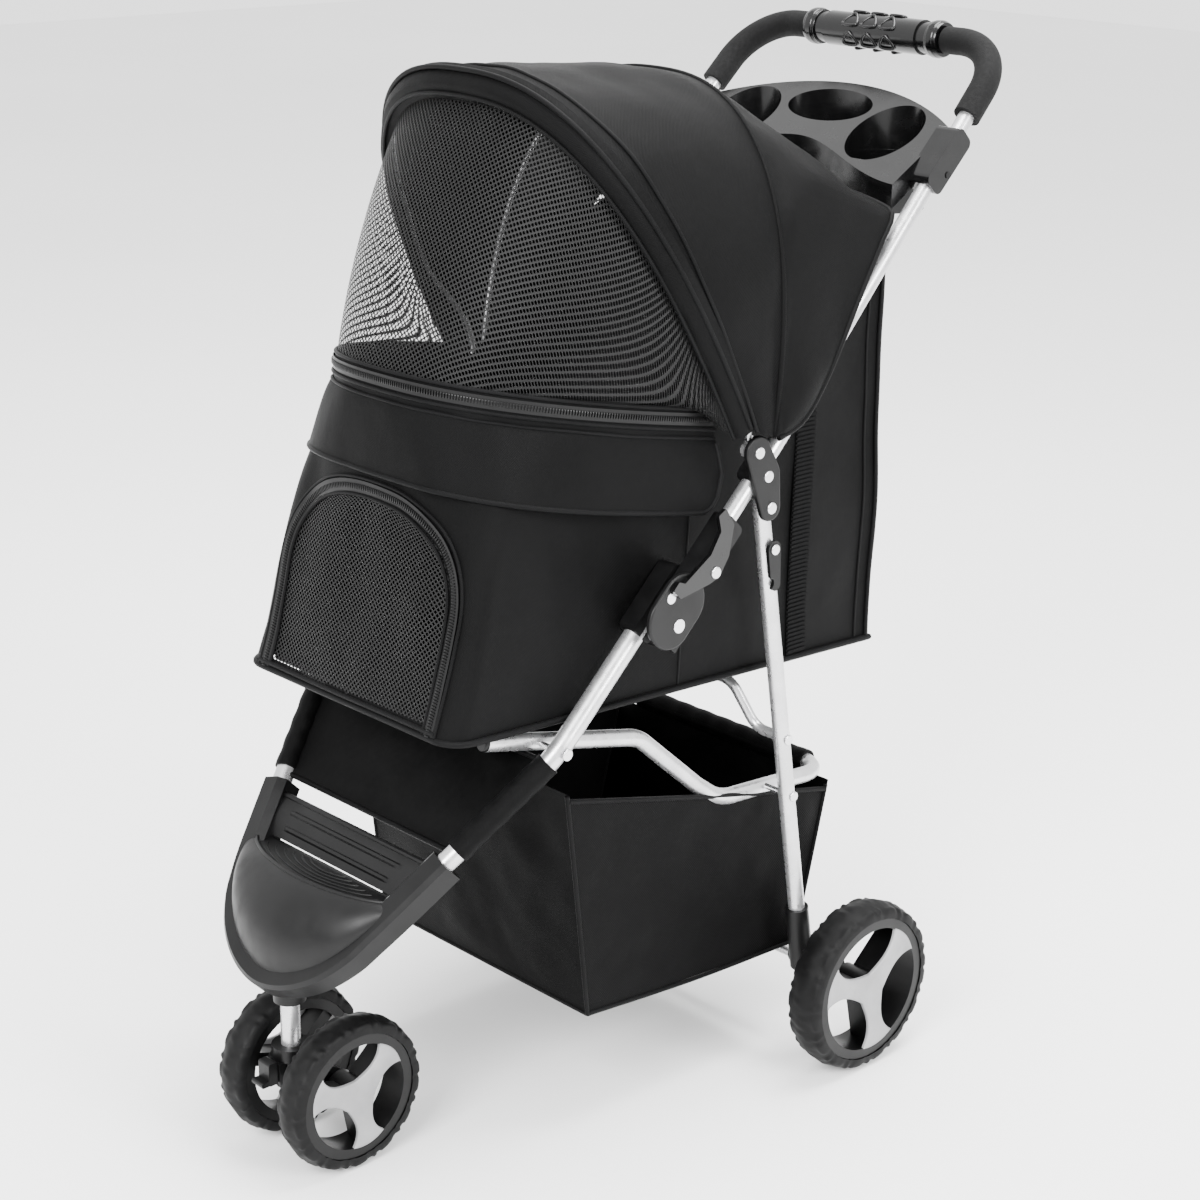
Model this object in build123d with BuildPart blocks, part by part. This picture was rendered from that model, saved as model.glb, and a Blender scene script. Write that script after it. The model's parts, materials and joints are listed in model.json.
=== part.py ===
"""Three-wheel folding pet stroller: frame, fold, wheels, tray and soft goods.

Millimetres, +Z up.  +X is the stroller's left side and -Y its front.
The origin lies on the ground under the middle of the stroller.
Side profiles are drawn as (distance behind the rear axle, height).
"""
from math import cos, pi, radians, sin, sqrt
import os

from build123d import *

os.makedirs("parts", exist_ok=True)

# ---------------------------------------------------------------- driving sizes
rear_axle_y = 161.3          # rear axle behind the origin
tube_rise = 746.6            # height of the sloping tube plane above the rear axle line
rear_wheel_r, rear_wheel_w, rear_wheel_x = 86.0, 38.0, 226.0
front_wheel_r, front_wheel_w, front_wheel_x = 74.0, 32.0, 45.0
front_wheel_back = -489.0    # front axle, measured from the rear axle
stem_back = -520.0           # caster stem axis
rear_axle_r, front_axle_r = 5.0, 4.0
running = 0.05               # radial clearance of a running fit
snug = 0.1                   # radial clearance of a part clamped on a tube

front_tube_r, front_tube_x = 9.5, 165.0
handle_tube_r, handle_tube_x, handle_top_x = 8.0, 184.5, 166.0
leg_r, leg_top_x, leg_foot_x = 8.0, 185.0, 178.0
rail_r, rail_x = 8.0, 144.0
tube_wall = 1.2

# rivet centres in the side view: (behind the rear axle, height)
fold_pivot = (-232.6, 503.3)
lock_pin = (-243.0, 531.0)
lever_pivot = (-194.0, 546.0)
bracket_top, bracket_mid = (-137.0, 644.0), (-124.5, 620.0)
leg_pivot = (-119.2, 589.6)
leg_to_rail = (-64.3, 290.8)
rail_pivot = (-343.0, 403.6)

# canopy and cabin
hoop_rod_r = 2.5
cloth = 1.6
rim_hinge = (-165.0, 683.0)
rim_half, rim_depth, rim_angle = 158.0, 245.0, 169.8
cabin_wall = 2.0


# ---------------------------------------------------------------- shared planes
def behind(distance):
    """Row-frame Y of a point this far behind the rear axle."""
    return rear_axle_y + distance


def side_plane(x):
    """Side view at x: local axes are (behind the rear axle, height)."""
    return Plane(origin=(x, rear_axle_y, 0), x_dir=(0, 1, 0), z_dir=(1, 0, 0))


def tube_side(x):
    """Side view turned to the tubes: local axes are (along the tube, off the tube)."""
    origin = (x, behind(-tube_rise / 2), tube_rise / 2)
    return Plane(origin=origin, x_dir=(0, 1, 1), z_dir=(1, 0, 0))


tube_plane = Plane(
    origin=(0, behind(-tube_rise / 2), tube_rise / 2), x_dir=(1, 0, 0), z_dir=(0, -1, 1)
)


def along(height):
    """Distance along the tube plane of a point on it at this height."""
    return (height - tube_rise / 2) * sqrt(2)


def to_tube(point):
    """Side-view point in (along the tube, off the tube)."""
    back, height = point[0] + tube_rise / 2, point[1] - tube_rise / 2
    return ((back + height) / sqrt(2), (height - back) / sqrt(2))


def fan_plane(pivot, angle):
    """Plane through a cross axis at pivot, leaning back-to-front by angle."""
    lean = radians(angle)
    return Plane(
        origin=(0, behind(pivot[0]), pivot[1]), x_dir=(1, 0, 0), z_dir=(0, -sin(lean), cos(lean))
    )


# ---------------------------------------------------------------- shared shapes
def save(part, name):
    part.label = name
    export_step(part, f"parts/{name}.step")


def save_pair(left, name):
    """Write a left-hand piece and its mirror image."""
    save(left, f"{name}_left")
    save(mirror(left, about=Plane.YZ), f"{name}_right")


def rod(points, radius, bend_radii, wall=0.0, plane=None):
    """Round rod or tube along straight runs joined by bends."""
    plane = plane or Plane.XY
    with BuildPart() as swept:
        with BuildLine(plane) as path:
            if len(points) > 2:
                FilletPolyline(*points, radius=bend_radii)
            else:
                Line(*points)
        with BuildSketch(path.line ^ 0):
            Circle(radius)
            if wall:
                Circle(radius - wall, mode=Mode.SUBTRACT)
        sweep(transition=Transition.RIGHT)
    return swept.part


def pin(centre, radius, x_low, x_high, head_r=0.0, head=2.0):
    """Cross pin on a side-view centre, with an outer rivet head if wanted."""
    with BuildPart() as shaft:
        with BuildSketch(side_plane(x_low)):
            with Locations(centre):
                Circle(radius)
        extrude(amount=x_high - x_low)
        if head_r:
            with BuildSketch(side_plane(x_high)):
                with Locations(centre):
                    Circle(head_r)
            extrude(amount=head)
            fillet(shaft.edges().filter_by(GeomType.CIRCLE).sort_by(Axis.X)[-1], head * 0.6)
    return shaft.part


def arch_points(half, height, power, steps=18):
    """Superellipse arch in (x, height), from the left foot over the top to the right."""
    points = []
    for step in range(steps + 1):
        turn = pi * step / steps
        across, up = cos(turn), sin(turn)
        x = half * (1 if across >= 0 else -1) * abs(across) ** (2 / power)
        points.append((x, height * abs(up) ** (2 / power)))
    return points


def band_loft(sections, thickness):
    """Thin arched shell through (plane, half width, height, power, foot) sections."""
    with BuildPart() as shell:
        for plane, half, height, power, foot in sections:
            with BuildSketch(plane):
                with BuildLine():
                    outer = [(x, y + foot) for x, y in arch_points(half, height, power)]
                    inner = [
                        (x, y + foot)
                        for x, y in arch_points(half - thickness, height - thickness, power)
                    ]
                    Spline(*outer)
                    Spline(*inner)
                    Line(outer[0], inner[0])
                    Line(outer[-1], inner[-1])
                make_face()
        loft(ruled=True)
    return shell.part


# ---------------------------------------------------------------- front frame
def on_front_tube(height):
    """(x, along) of the front tube's inward-leaning stretch at this height."""
    share = (height - 250) / 150
    return (92 + 71.5 * share, along(height))


front_tube_points = [on_front_tube(250), on_front_tube(400), (front_tube_x, along(536))]
handle_tube_points = [
    (handle_tube_x, along(525)),
    (handle_tube_x, along(650)),
    (handle_top_x + 1, along(900)),
    (handle_top_x - 4, along(971)),
    (2, along(971)),
]
handle_bends = [300, 300, 58]


def both(part):
    """The part with its mirror image."""
    return [part, mirror(part, about=Plane.YZ)]


front_tube_room = both(rod(front_tube_points, front_tube_r + snug, 120, 0, tube_plane))
handle_tube_room = both(rod(handle_tube_points, handle_tube_r + snug, handle_bends, 0, tube_plane))

with BuildPart() as front_tube_left:
    add(rod(front_tube_points, front_tube_r, 120, tube_wall, tube_plane))
    add(pin(rail_pivot, 3.0, 120, 190), mode=Mode.SUBTRACT)
save_pair(front_tube_left.part, "front_tube")

nose_floor_z, nose_lip_z, nose_back = 169.0, 264.0, -468.0
with BuildPart() as nose:
    # bucket: a bowl that widens from its foot to the lip
    for height, half_x, half_y, back in (
        (nose_floor_z, 46, 40, -505),
        (205, 88, 68, -491),
        (nose_lip_z - 12, 108, 94, nose_back),
    ):
        with BuildSketch(Plane.XY.offset(height)):
            with Locations((0, behind(back))):
                Ellipse(half_x, half_y)
    loft()
    with BuildSketch(Plane.XY.offset(nose_lip_z - 12)):
        with Locations((0, behind(nose_back))):
            Ellipse(108, 94)
    extrude(amount=12)
    split(
        bisect_by=Plane(origin=(0, behind(-456), nose_lip_z), z_dir=(0, -1, -0.35)), keep=Keep.TOP
    )
    # arms that sleeve both tubes, with a low web between them
    for arm in both(rod([on_front_tube(256), on_front_tube(307)], 13.5, 0, 0, tube_plane)):
        add(arm)
    with BuildSketch(tube_plane.offset(-8)):
        with Locations((0, along(272))):
            Rectangle(216, 44)
    extrude(amount=5)
    for room in front_tube_room:
        add(room, mode=Mode.SUBTRACT)
    with BuildSketch(Plane.XY.offset(nose_lip_z - 4)):
        with Locations((0, behind(nose_back))):
            Ellipse(102, 88)
    extrude(amount=12, mode=Mode.SUBTRACT)
    with BuildPart(mode=Mode.PRIVATE) as nose_cavity:
        for height, half_x, half_y, back in (
            (nose_floor_z + 32, 76, 58, -492), (nose_lip_z - 13, 92, 78, nose_back)
        ):
            with BuildSketch(Plane.XY.offset(height)):
                with Locations((0, behind(back))):
                    Ellipse(half_x, half_y)
        loft()
        split(
            bisect_by=Plane(origin=(0, behind(-468), nose_lip_z), z_dir=(0, -1, -0.35)),
            keep=Keep.TOP,
        )
    add(nose_cavity.part, mode=Mode.SUBTRACT)
    with BuildSketch(Plane.XY.offset(nose_floor_z)):
        with Locations((0, behind(stem_back))):
            Circle(9 + running)
    extrude(amount=30, mode=Mode.SUBTRACT)
save(nose.part, "nose_shell")

with BuildPart() as footrest:
    with BuildSketch(Plane.XY.offset(nose_lip_z - 3.8)):
        with Locations((0, behind(nose_back))):
            Ellipse(101, 87)
    extrude(amount=3)
    split(
        bisect_by=Plane(origin=(0, behind(-472), nose_lip_z), z_dir=(0, -1, -0.35)), keep=Keep.TOP
    )
    for room in front_tube_room:
        add(room, mode=Mode.SUBTRACT)
    with BuildSketch(Plane.XY.offset(nose_lip_z - 0.8)):
        for scale in (0.35, 0.5, 0.65, 0.8):
            with Locations((0, behind(-484))):
                SlotArc(CenterArc((0, 0), 78 * scale, 200, 140), 2.2)
    extrude(amount=1)
save(footrest.part, "footrest_plate")

with BuildPart() as stem:
    with BuildSketch(Plane.XY.offset(82)):
        with Locations((0, behind(stem_back))):
            Circle(9)
    extrude(amount=nose_floor_z + 30 - 82)
save(stem.part, "caster_stem")

# fold joint: the housing is fixed on the front tube, the arm on the handle tube
plate_x, plate_t = 193.4, 4.6
block_x, block_t = 153.4, 20.5   # stays inside the rear leg, which folds past it
pivot_s, pivot_p = to_tube(fold_pivot)
with BuildPart() as housing:
    with BuildSketch(tube_side(block_x)):
        with Locations((pivot_s + 12, 0)):
            RectangleRounded(74, 26, 6)
    extrude(amount=block_t)
    with BuildSketch(tube_side(plate_x)):
        with Locations((pivot_s + 8, 3)):
            RectangleRounded(72, 54, 26)
    extrude(amount=plate_t)
    fillet(housing.faces().sort_by(Axis.X)[-1].edges(), 2)
    with BuildSketch(tube_side(172)):
        with Locations((pivot_s - 1, -23.6)):
            Rectangle(36, 6.4)
    extrude(amount=plate_x - 172)
    with BuildSketch(tube_side(block_x)):
        with Locations((pivot_s - 1, -19)):
            Rectangle(36, 15.6)
    extrude(amount=block_t)
    add(front_tube_room[0], mode=Mode.SUBTRACT)
    for centre, radius in ((fold_pivot, 4.0), (lock_pin, 3.0)):
        add(pin(centre, radius, 150, 215), mode=Mode.SUBTRACT)
save_pair(housing.part, "latch_housing")

frame_rivets = []
for side_part in (
    pin(fold_pivot, 4.0, 174.8, plate_x + plate_t, 6.5, 1.0),
    pin(lock_pin, 3.0, plate_x, plate_x + plate_t, 5.0, 1.0),
    pin(rail_pivot, 3.0 - running, 130, front_tube_x + front_tube_r, 5.5, 2.0),
):
    frame_rivets += both(side_part)
save(Compound(children=frame_rivets), "frame_rivets")

with BuildPart() as latch_body:
    with BuildSketch(tube_side(176.3)):
        with Locations((pivot_s + 62, 0)):
            RectangleRounded(94, 21, 5)
        with Locations((pivot_s, pivot_p)):
            Circle(11)
        with Locations((pivot_s + 12, -5)):
            Rectangle(24, 11)
    extrude(amount=16.6)
    lever_s, lever_p = to_tube(lever_pivot)
    with BuildSketch(tube_side(192.9)):
        with Locations((lever_s + 20, 0)):
            RectangleRounded(58, 21, 5)
    extrude(amount=5.8)
    add(handle_tube_room[0], mode=Mode.SUBTRACT)
    add(pin(fold_pivot, 4.0 + running, 150, 215), mode=Mode.SUBTRACT)
    add(pin(lever_pivot, 3.0, 150, 215), mode=Mode.SUBTRACT)
save_pair(latch_body.part, "latch_arm")

with BuildPart() as lever:
    lock_s, lock_p = to_tube(lock_pin)
    with BuildSketch(tube_side(199.2)):
        with BuildLine():
            Polyline(
                (lever_s + 44, 8), (lever_s + 48, 27), (lever_s + 38, 30), (lever_s + 30, 17),
                (lever_s + 8, 12), (lock_s + 17, 20), (lock_s + 14, 27), (lock_s + 4.2, 27),
                (lock_s + 4.2, lock_p - 5), (lever_s - 12, -6), (lever_s, -12), (lever_s + 20, -8),
                (lever_s + 44, 8),
            )
        make_face()
    extrude(amount=4.2)
    fillet(lever.edges().filter_by(Axis.X), 1.8)
    add(pin(lever_pivot, 3.0 + running, 150, 215), mode=Mode.SUBTRACT)
save_pair(lever.part, "latch_lever")

# ---------------------------------------------------------------- handle
with BuildPart() as handle_tube:
    add(rod(handle_tube_points, handle_tube_r, handle_bends, tube_wall, tube_plane))
save_pair(handle_tube.part, "handle_tube")

# foam runs from below the bend to the centre grip, as one bent sleeve
foam_r, foam_end_x, foam_low = 13.2, 89.0, along(911)
foam_points = [(handle_top_x + 0.3, foam_low), (handle_top_x - 4, along(971)), (foam_end_x, along(971))]
with BuildPart() as foam:
    add(rod(foam_points, foam_r, 58, 0, tube_plane))
    add(handle_tube_room[0], mode=Mode.SUBTRACT)
save_pair(foam.part, "foam_grip")

grip_half, grip_r = 86.0, 17.0
grip_plane = Plane(tube_plane.from_local_coords(Vector(-grip_half, along(971), 0)), z_dir=(1, 0, 0))
with BuildPart() as grip:
    with BuildSketch(grip_plane):
        Circle(grip_r - 2)
    extrude(amount=2 * grip_half)
    for start, length in ((0, 14), (26, 2 * grip_half - 52), (2 * grip_half - 14, 14)):
        with BuildSketch(grip_plane.offset(start)):
            Circle(grip_r)
        extrude(amount=length)
    fillet(grip.edges().filter_by(GeomType.CIRCLE).group_by(Axis.X)[0], 2)
    fillet(grip.edges().filter_by(GeomType.CIRCLE).group_by(Axis.X)[-1], 2)
    for room in handle_tube_room:
        add(room, mode=Mode.SUBTRACT)
    with BuildSketch(grip_plane):
        Circle(handle_tube_r + snug)
    extrude(amount=2 * grip_half, mode=Mode.SUBTRACT)
save(grip.part, "centre_grip")

# ---------------------------------------------------------------- tray
tray_tilt = 30.0
tray_mid = (135.0, 892.0)
cup_x, cup_back, cup_r, cup_depth = 94.0, 133.0, 36.5, 58.0
cup_ring_top, cup_mouth_r = 869.4, 38.0
pocket_back, pocket_half_x, pocket_half_y = 158.0, 52.0, 22.0
tray_top = Plane(
    origin=(0, behind(tray_mid[0]), tray_mid[1]),
    x_dir=(1, 0, 0),
    z_dir=(0, -sin(radians(tray_tilt)), cos(radians(tray_tilt))),
)


def tray_outline(inset=0.0):
    """Tray seen from above: concave front edge, crowned back edge."""
    side, front, back = 158.0 - inset, behind(72 + inset), behind(150 - inset)
    with BuildSketch(Plane.XY.offset(760)) as outline:
        with BuildLine():
            Line((-side, front), (-side, back))
            ThreePointArc((-side, back), (0, behind(190 - inset)), (side, back))
            Line((side, back), (side, front))
            Spline((side, front), (70, behind(96 + inset)), (0, behind(114 + inset)),
                   (-70, behind(96 + inset)), (-side, front))
        make_face()
    return outline.sketch


def under_tray(sketch, drop):
    """Prism of the sketch, cut off parallel to the tray's top."""
    with BuildPart() as prism:
        add(sketch)
        extrude(amount=260)
        split(bisect_by=tray_top.offset(-drop), keep=Keep.BOTTOM)
    return prism.part


with BuildPart() as tray:
    add(under_tray(tray_outline(), 0))
    split(bisect_by=tray_top.offset(-20), keep=Keep.TOP)
    with BuildPart(mode=Mode.PRIVATE) as tray_hollow:
        add(under_tray(tray_outline(2.6), 3))
    add(tray_hollow.part, mode=Mode.SUBTRACT)
    for wall, low, mode in ((2.4, 0, Mode.ADD), (0, 2.4, Mode.SUBTRACT)):
        for x, back in ((cup_x, cup_back), (-cup_x, cup_back), (0, pocket_back)):
            with BuildPart(mode=Mode.PRIVATE) as well:
                with BuildSketch(Plane.XY.offset(tray_mid[1] - cup_depth - 14 + low)):
                    with Locations((x, behind(back))):
                        if x:
                            Circle(cup_r + (wall + 1.5 if wall else 0))
                        else:
                            Ellipse(pocket_half_x + wall, pocket_half_y + wall)
                extrude(amount=200)
                split(bisect_by=tray_top.offset(-0.2 if wall else 20), keep=Keep.BOTTOM)
            add(well.part, mode=mode)
    with BuildSketch(Plane.XY.offset(cup_ring_top)):
        with Locations((cup_x, behind(cup_back)), (-cup_x, behind(cup_back))):
            Circle(cup_mouth_r)
    extrude(amount=80, mode=Mode.SUBTRACT)
    # cheeks that sleeve the handle tubes
    for side in (1, -1):
        with BuildSketch(tube_side(155 if side > 0 else -181)):
            with Locations(((along(850) + along(896)) / 2, 2)):
                RectangleRounded(along(896) - along(850), 25, 7)
        extrude(amount=26)
    for room in handle_tube_room:
        add(room, mode=Mode.SUBTRACT)
save(tray.part, "parent_tray")

# ---------------------------------------------------------------- pivot bracket
bracket_points = [to_tube(point) for point in (bracket_top, bracket_mid, leg_pivot)]
with BuildPart() as bracket:
    with BuildSketch(tube_side(plate_x)):
        with Locations(bracket_points[0]):
            Circle(15)
        with Locations(bracket_points[1]):
            Circle(16)
        with Locations(bracket_points[2]):
            Circle(12.5)
        make_hull()
    extrude(amount=plate_t)
    fillet(bracket.faces().sort_by(Axis.X)[-1].edges(), 1.8)
    with BuildSketch(tube_side(174.6)):
        with Locations((bracket_points[1][0] + 2, 0.5)):
            RectangleRounded(30, 22, 5)
    extrude(amount=plate_x - 174.6)
    add(handle_tube_room[0], mode=Mode.SUBTRACT)
    for centre in (bracket_top, bracket_mid, leg_pivot):
        add(pin(centre, 3.0, 150, 215), mode=Mode.SUBTRACT)
save_pair(bracket.part, "pivot_bracket")

handle_rivets = []
for centre, x_low, x_high in (
    (leg_pivot, 174.0, plate_x + plate_t),
    (bracket_mid, 194.0, plate_x + plate_t),
    (bracket_top, 179.0, plate_x + plate_t),
    (lever_pivot, 193.6, 203.4),
):
    handle_rivets += both(pin(centre, 3.0, x_low, x_high, 5.5, 2.0))
save(Compound(children=handle_rivets), "handle_rivets")

# ---------------------------------------------------------------- rear legs
leg_foot = (-31.0, 104.0)
leg_reach = leg_foot[0] - leg_pivot[0], leg_foot[1] - leg_pivot[1]
leg_length = sqrt(leg_reach[0] ** 2 + leg_reach[1] ** 2)
leg_plane = Plane(
    origin=(leg_top_x, behind(leg_pivot[0]), leg_pivot[1]),
    x_dir=(1, 0, 0),
    z_dir=(leg_foot_x - leg_top_x, leg_reach[0], leg_reach[1]),
)


def leg_round(radius, start, stop):
    """Cylinder on the leg's own line, from start to stop below its pivot."""
    with BuildPart() as length:
        with BuildSketch(leg_plane.offset(start)):
            Circle(radius)
        extrude(amount=stop - start)
    return length.part


with BuildPart() as leg:
    add(leg_round(leg_r, -9, leg_length))
    add(leg_round(leg_r - tube_wall, -9, leg_length), mode=Mode.SUBTRACT)
    add(pin(leg_pivot, 3.0 + running, 150, 215), mode=Mode.SUBTRACT)
    add(pin(leg_to_rail, 3.0, 150, 215), mode=Mode.SUBTRACT)
save_pair(leg.part, "rear_leg")

axle_point = (0.0, rear_wheel_r)
brake_pivot = (-16.0, 100.0)
with BuildPart() as wheel_bracket:
    add(leg_round(11.5, leg_length - 62, leg_length + 6))
    with BuildSketch(side_plane(leg_foot_x - 9)):
        with Locations(axle_point):
            Circle(16)
        with Locations((-30, 110)):
            Circle(11)
        make_hull()
    extrude(amount=26)
    add(leg_round(leg_r + snug, -9, leg_length + 0.2), mode=Mode.SUBTRACT)
    add(pin(axle_point, rear_axle_r, 100, 240), mode=Mode.SUBTRACT)
    add(pin(brake_pivot, 3.0, 150, 172), mode=Mode.SUBTRACT)
save_pair(wheel_bracket.part, "wheel_bracket")

with BuildPart() as axle:
    with BuildSketch(side_plane(-240.5)):
        with Locations(axle_point):
            Circle(rear_axle_r)
    extrude(amount=481)
save(axle.part, "rear_axle")

arch_foot = 352.0
arch_back = -74.5
arch_plane = Plane(
    origin=(0, behind(arch_back), arch_foot), x_dir=(1, 0, 0), z_dir=(0, -0.973, -0.230)
)
leg_x_at_arch = leg_top_x - (leg_top_x - leg_foot_x) * (leg_pivot[1] - arch_foot) / -leg_reach[1]
arch_reach = leg_x_at_arch - leg_r - 0.5
save(
    rod(
        [(-arch_reach, 0), (-arch_reach + 26, 0), (-arch_reach + 50, 44), (0, 48.5),
         (arch_reach - 50, 44), (arch_reach - 26, 0), (arch_reach, 0)],
        5.0, [20, 20, 200, 20, 20], 1.0, arch_plane,
    ),
    "leg_arch",
)


def on_leg(height):
    """Side-view point and X of the leg's centre line at this height."""
    share = (height - leg_pivot[1]) / leg_reach[1]
    return (leg_pivot[0] + share * leg_reach[0], height), leg_top_x + share * (leg_foot_x - leg_top_x)


catch_pivot, catch_leg_x = on_leg(549)
arch_rivet, arch_leg_x = on_leg(352)
rail_stud_x = on_leg(leg_to_rail[1])[1]
leg_rivets = []
for centre, x_low, x_high in (
    (leg_to_rail, rail_x + rail_r + 1.2, rail_stud_x + leg_r + 0.3),
    (catch_pivot, catch_leg_x + leg_r + 0.1, catch_leg_x + leg_r + 5.4),
    (arch_rivet, arch_leg_x + leg_r + 0.1, arch_leg_x + leg_r + 0.5),
):
    leg_rivets += both(pin(centre, 3.0, x_low, x_high, 5.0, 1.6))
leg_rivets += both(pin(brake_pivot, 3.0, 154.0, 172.0))
save(Compound(children=leg_rivets), "leg_rivets")

# hook on the left leg that catches the frame when it is folded
catch_x = catch_leg_x + leg_r + 1.6
with BuildPart() as catch:
    with BuildSketch(side_plane(catch_x)):
        with Locations(catch_pivot):
            Circle(8)
        with Locations((catch_pivot[0] + 3, catch_pivot[1] - 34)):
            Circle(6)
        make_hull()
        with Locations((catch_pivot[0] - 5, catch_pivot[1] - 32)):
            Circle(5.5, mode=Mode.SUBTRACT)
        with Locations(catch_pivot):
            Circle(3.0 + running, mode=Mode.SUBTRACT)
    extrude(amount=3.4)
save(catch.part, "transport_catch")

# ---------------------------------------------------------------- brakes
with BuildPart() as pedal:
    with BuildSketch(side_plane(leg_foot_x - 22)):
        with Locations(brake_pivot):
            Circle(7)
        with Locations((48, 112)):
            Circle(5)
        make_hull()
        with Locations(brake_pivot):
            Circle(3 + running, mode=Mode.SUBTRACT)
    extrude(amount=12)
save_pair(pedal.part, "brake_pedal")

# ---------------------------------------------------------------- basket rail
rail_bar_back = 32.0
rail_tip_x = 129.0           # the front ends toe in, to pass inside the leaning tubes
rail_side = [(-398, 415.5), (-229, 381), (-150, 312), (-120, 290), (rail_bar_back, 280)]


def rail_point(side, point):
    x = rail_tip_x if point == rail_side[0] else rail_x
    return (side * x, behind(point[0]), point[1])


rail_route = [rail_point(1, point) for point in rail_side]
rail_route += [rail_point(-1, point) for point in reversed(rail_side)]
with BuildPart() as rail:
    with BuildLine() as rail_path:
        FilletPolyline(*rail_route, radius=[38, 90, 60, 34, 34, 60, 90, 38])
    with BuildSketch(rail_path.line ^ 0):
        Circle(rail_r)
        Circle(rail_r - tube_wall, mode=Mode.SUBTRACT)
    sweep()
    add(pin(rail_pivot, 3.0, -215, 215), mode=Mode.SUBTRACT)
save(rail.part, "basket_rail")

rail_tip = Vector(*rail_point(1, rail_side[0]))
with BuildPart() as plug:
    plug_plane = Plane(origin=rail_tip, z_dir=rail_tip - Vector(*rail_point(1, rail_side[1])))
    with BuildSketch(plug_plane.offset(0.2)):
        Circle(rail_r)
    extrude(amount=4)
    fillet(plug.faces().sort_by(Axis.Y)[0].edges(), 2)
save(Compound(children=both(plug.part)), "rail_plugs")


def side_box(points, half):
    """Solid with this side profile, running across the stroller."""
    with BuildPart() as block:
        with BuildSketch(side_plane(-half)):
            with BuildLine():
                Polyline(*points, points[0])
            make_face()
        extrude(amount=2 * half)
    return block.part


basket_half = 147.0
basket_side = [(-316, 336), (-292, 124), (-10, 110), (28, 262), (-132, 272)]
basket_inner = [(-318, 500), (-313.4, 336), (-289.6, 126.6), (-11.8, 112.6), (25.6, 262), (40, 500)]
with BuildPart() as basket:
    add(side_box(basket_side, basket_half))
    add(side_box(basket_inner, basket_half - 2), mode=Mode.SUBTRACT)
save(basket.part, "storage_basket")

# ---------------------------------------------------------------- cabin
cabin_outer_side = [(-448, 431), (75, 412), (75, 805), (40, 790), (-120, 668), (-165, 676), (-425, 722)]
cabin_front_half, cabin_rear_half = 147.0, 152.0


def cabin_block(inset, low, high):
    """Solid cabin between two heights: square in front below, round in front above."""
    with BuildPart() as block:
        for height, round_r, front in ((low, 22.0, -452.0), (high, 130.0, -392.0)):
            with BuildSketch(Plane.XY.offset(height)):
                with BuildLine():
                    FilletPolyline(
                        (cabin_rear_half - inset, behind(75 - inset)),
                        (cabin_front_half - inset, behind(front + inset)),
                        (-cabin_front_half + inset, behind(front + inset)),
                        (-cabin_rear_half + inset, behind(75 - inset)),
                        radius=[round_r - inset, round_r - inset],
                    )
                    Line(
                        (-cabin_rear_half + inset, behind(75 - inset)),
                        (cabin_rear_half - inset, behind(75 - inset)),
                    )
                make_face()
        loft()
    return block.part


door_half, door_low, door_high = 112.0, 440.0, 612.0


def door_prism(shrink):
    """Arched opening through the front wall."""
    with BuildPart() as prism:
        with BuildSketch(Plane(origin=(0, behind(-480), 0), x_dir=(1, 0, 0), z_dir=(0, 1, 0))):
            with BuildLine():
                arch = [
                    (x, -(y + 520)) for x, y in arch_points(door_half - shrink, 92 - shrink, 2.4)
                ]
                Spline(*arch)
                Polyline(
                    arch[-1], (-door_half + shrink, -door_low - shrink),
                    (door_half - shrink, -door_low - shrink), arch[0],
                )
            make_face()
        extrude(amount=90)
    return prism.part


with BuildPart() as cabin_skin:
    add(cabin_block(0, 405, 815))
    add(cabin_block(cabin_wall, 404, 816), mode=Mode.SUBTRACT)
    add(side_box(cabin_outer_side, 300), mode=Mode.INTERSECT)
with BuildPart() as cabin:
    add(cabin_skin.part)
    add(door_prism(0), mode=Mode.SUBTRACT)
save(cabin.part, "cabin_walls")

with BuildPart() as door:
    add(cabin_skin.part)
    add(door_prism(0.4), mode=Mode.INTERSECT)
save(door.part, "mesh_door")

floor_half = cabin_front_half - cabin_wall - 1.2
with BuildPart() as floor_board:
    with BuildSketch(
        Plane(origin=(0, behind(-436), 436), x_dir=(1, 0, 0), z_dir=(0, 19, 523))
    ):
        with Locations((0, 252)):
            RectangleRounded(2 * floor_half - 4, 504, 18)
    extrude(amount=4)
    # round edge that the board turns on
    add(pin((-436, 436), 3.0, 24 - floor_half, floor_half - 24))
save(floor_board.part, "floor_board")

rim_plane = fan_plane(rim_hinge, rim_angle)
skirt_power = 3.4
with BuildPart() as skirt:
    for drop, half, depth in ((8, 163.5, 256), (80, 171.0, 266)):
        with BuildSketch(rim_plane.offset(drop)):
            with BuildLine():
                outer = [(x, y + 10) for x, y in arch_points(half, depth - 10, skirt_power)]
                inner = [
                    (x, y + 10)
                    for x, y in arch_points(half - cloth, depth - 10 - cloth, skirt_power)
                ]
                Spline(*outer)
                Spline(*inner)
                Line(outer[0], inner[0])
                Line(outer[-1], inner[-1])
            make_face()
    loft(ruled=True)
save(skirt.part, "rim_skirt")

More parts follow.
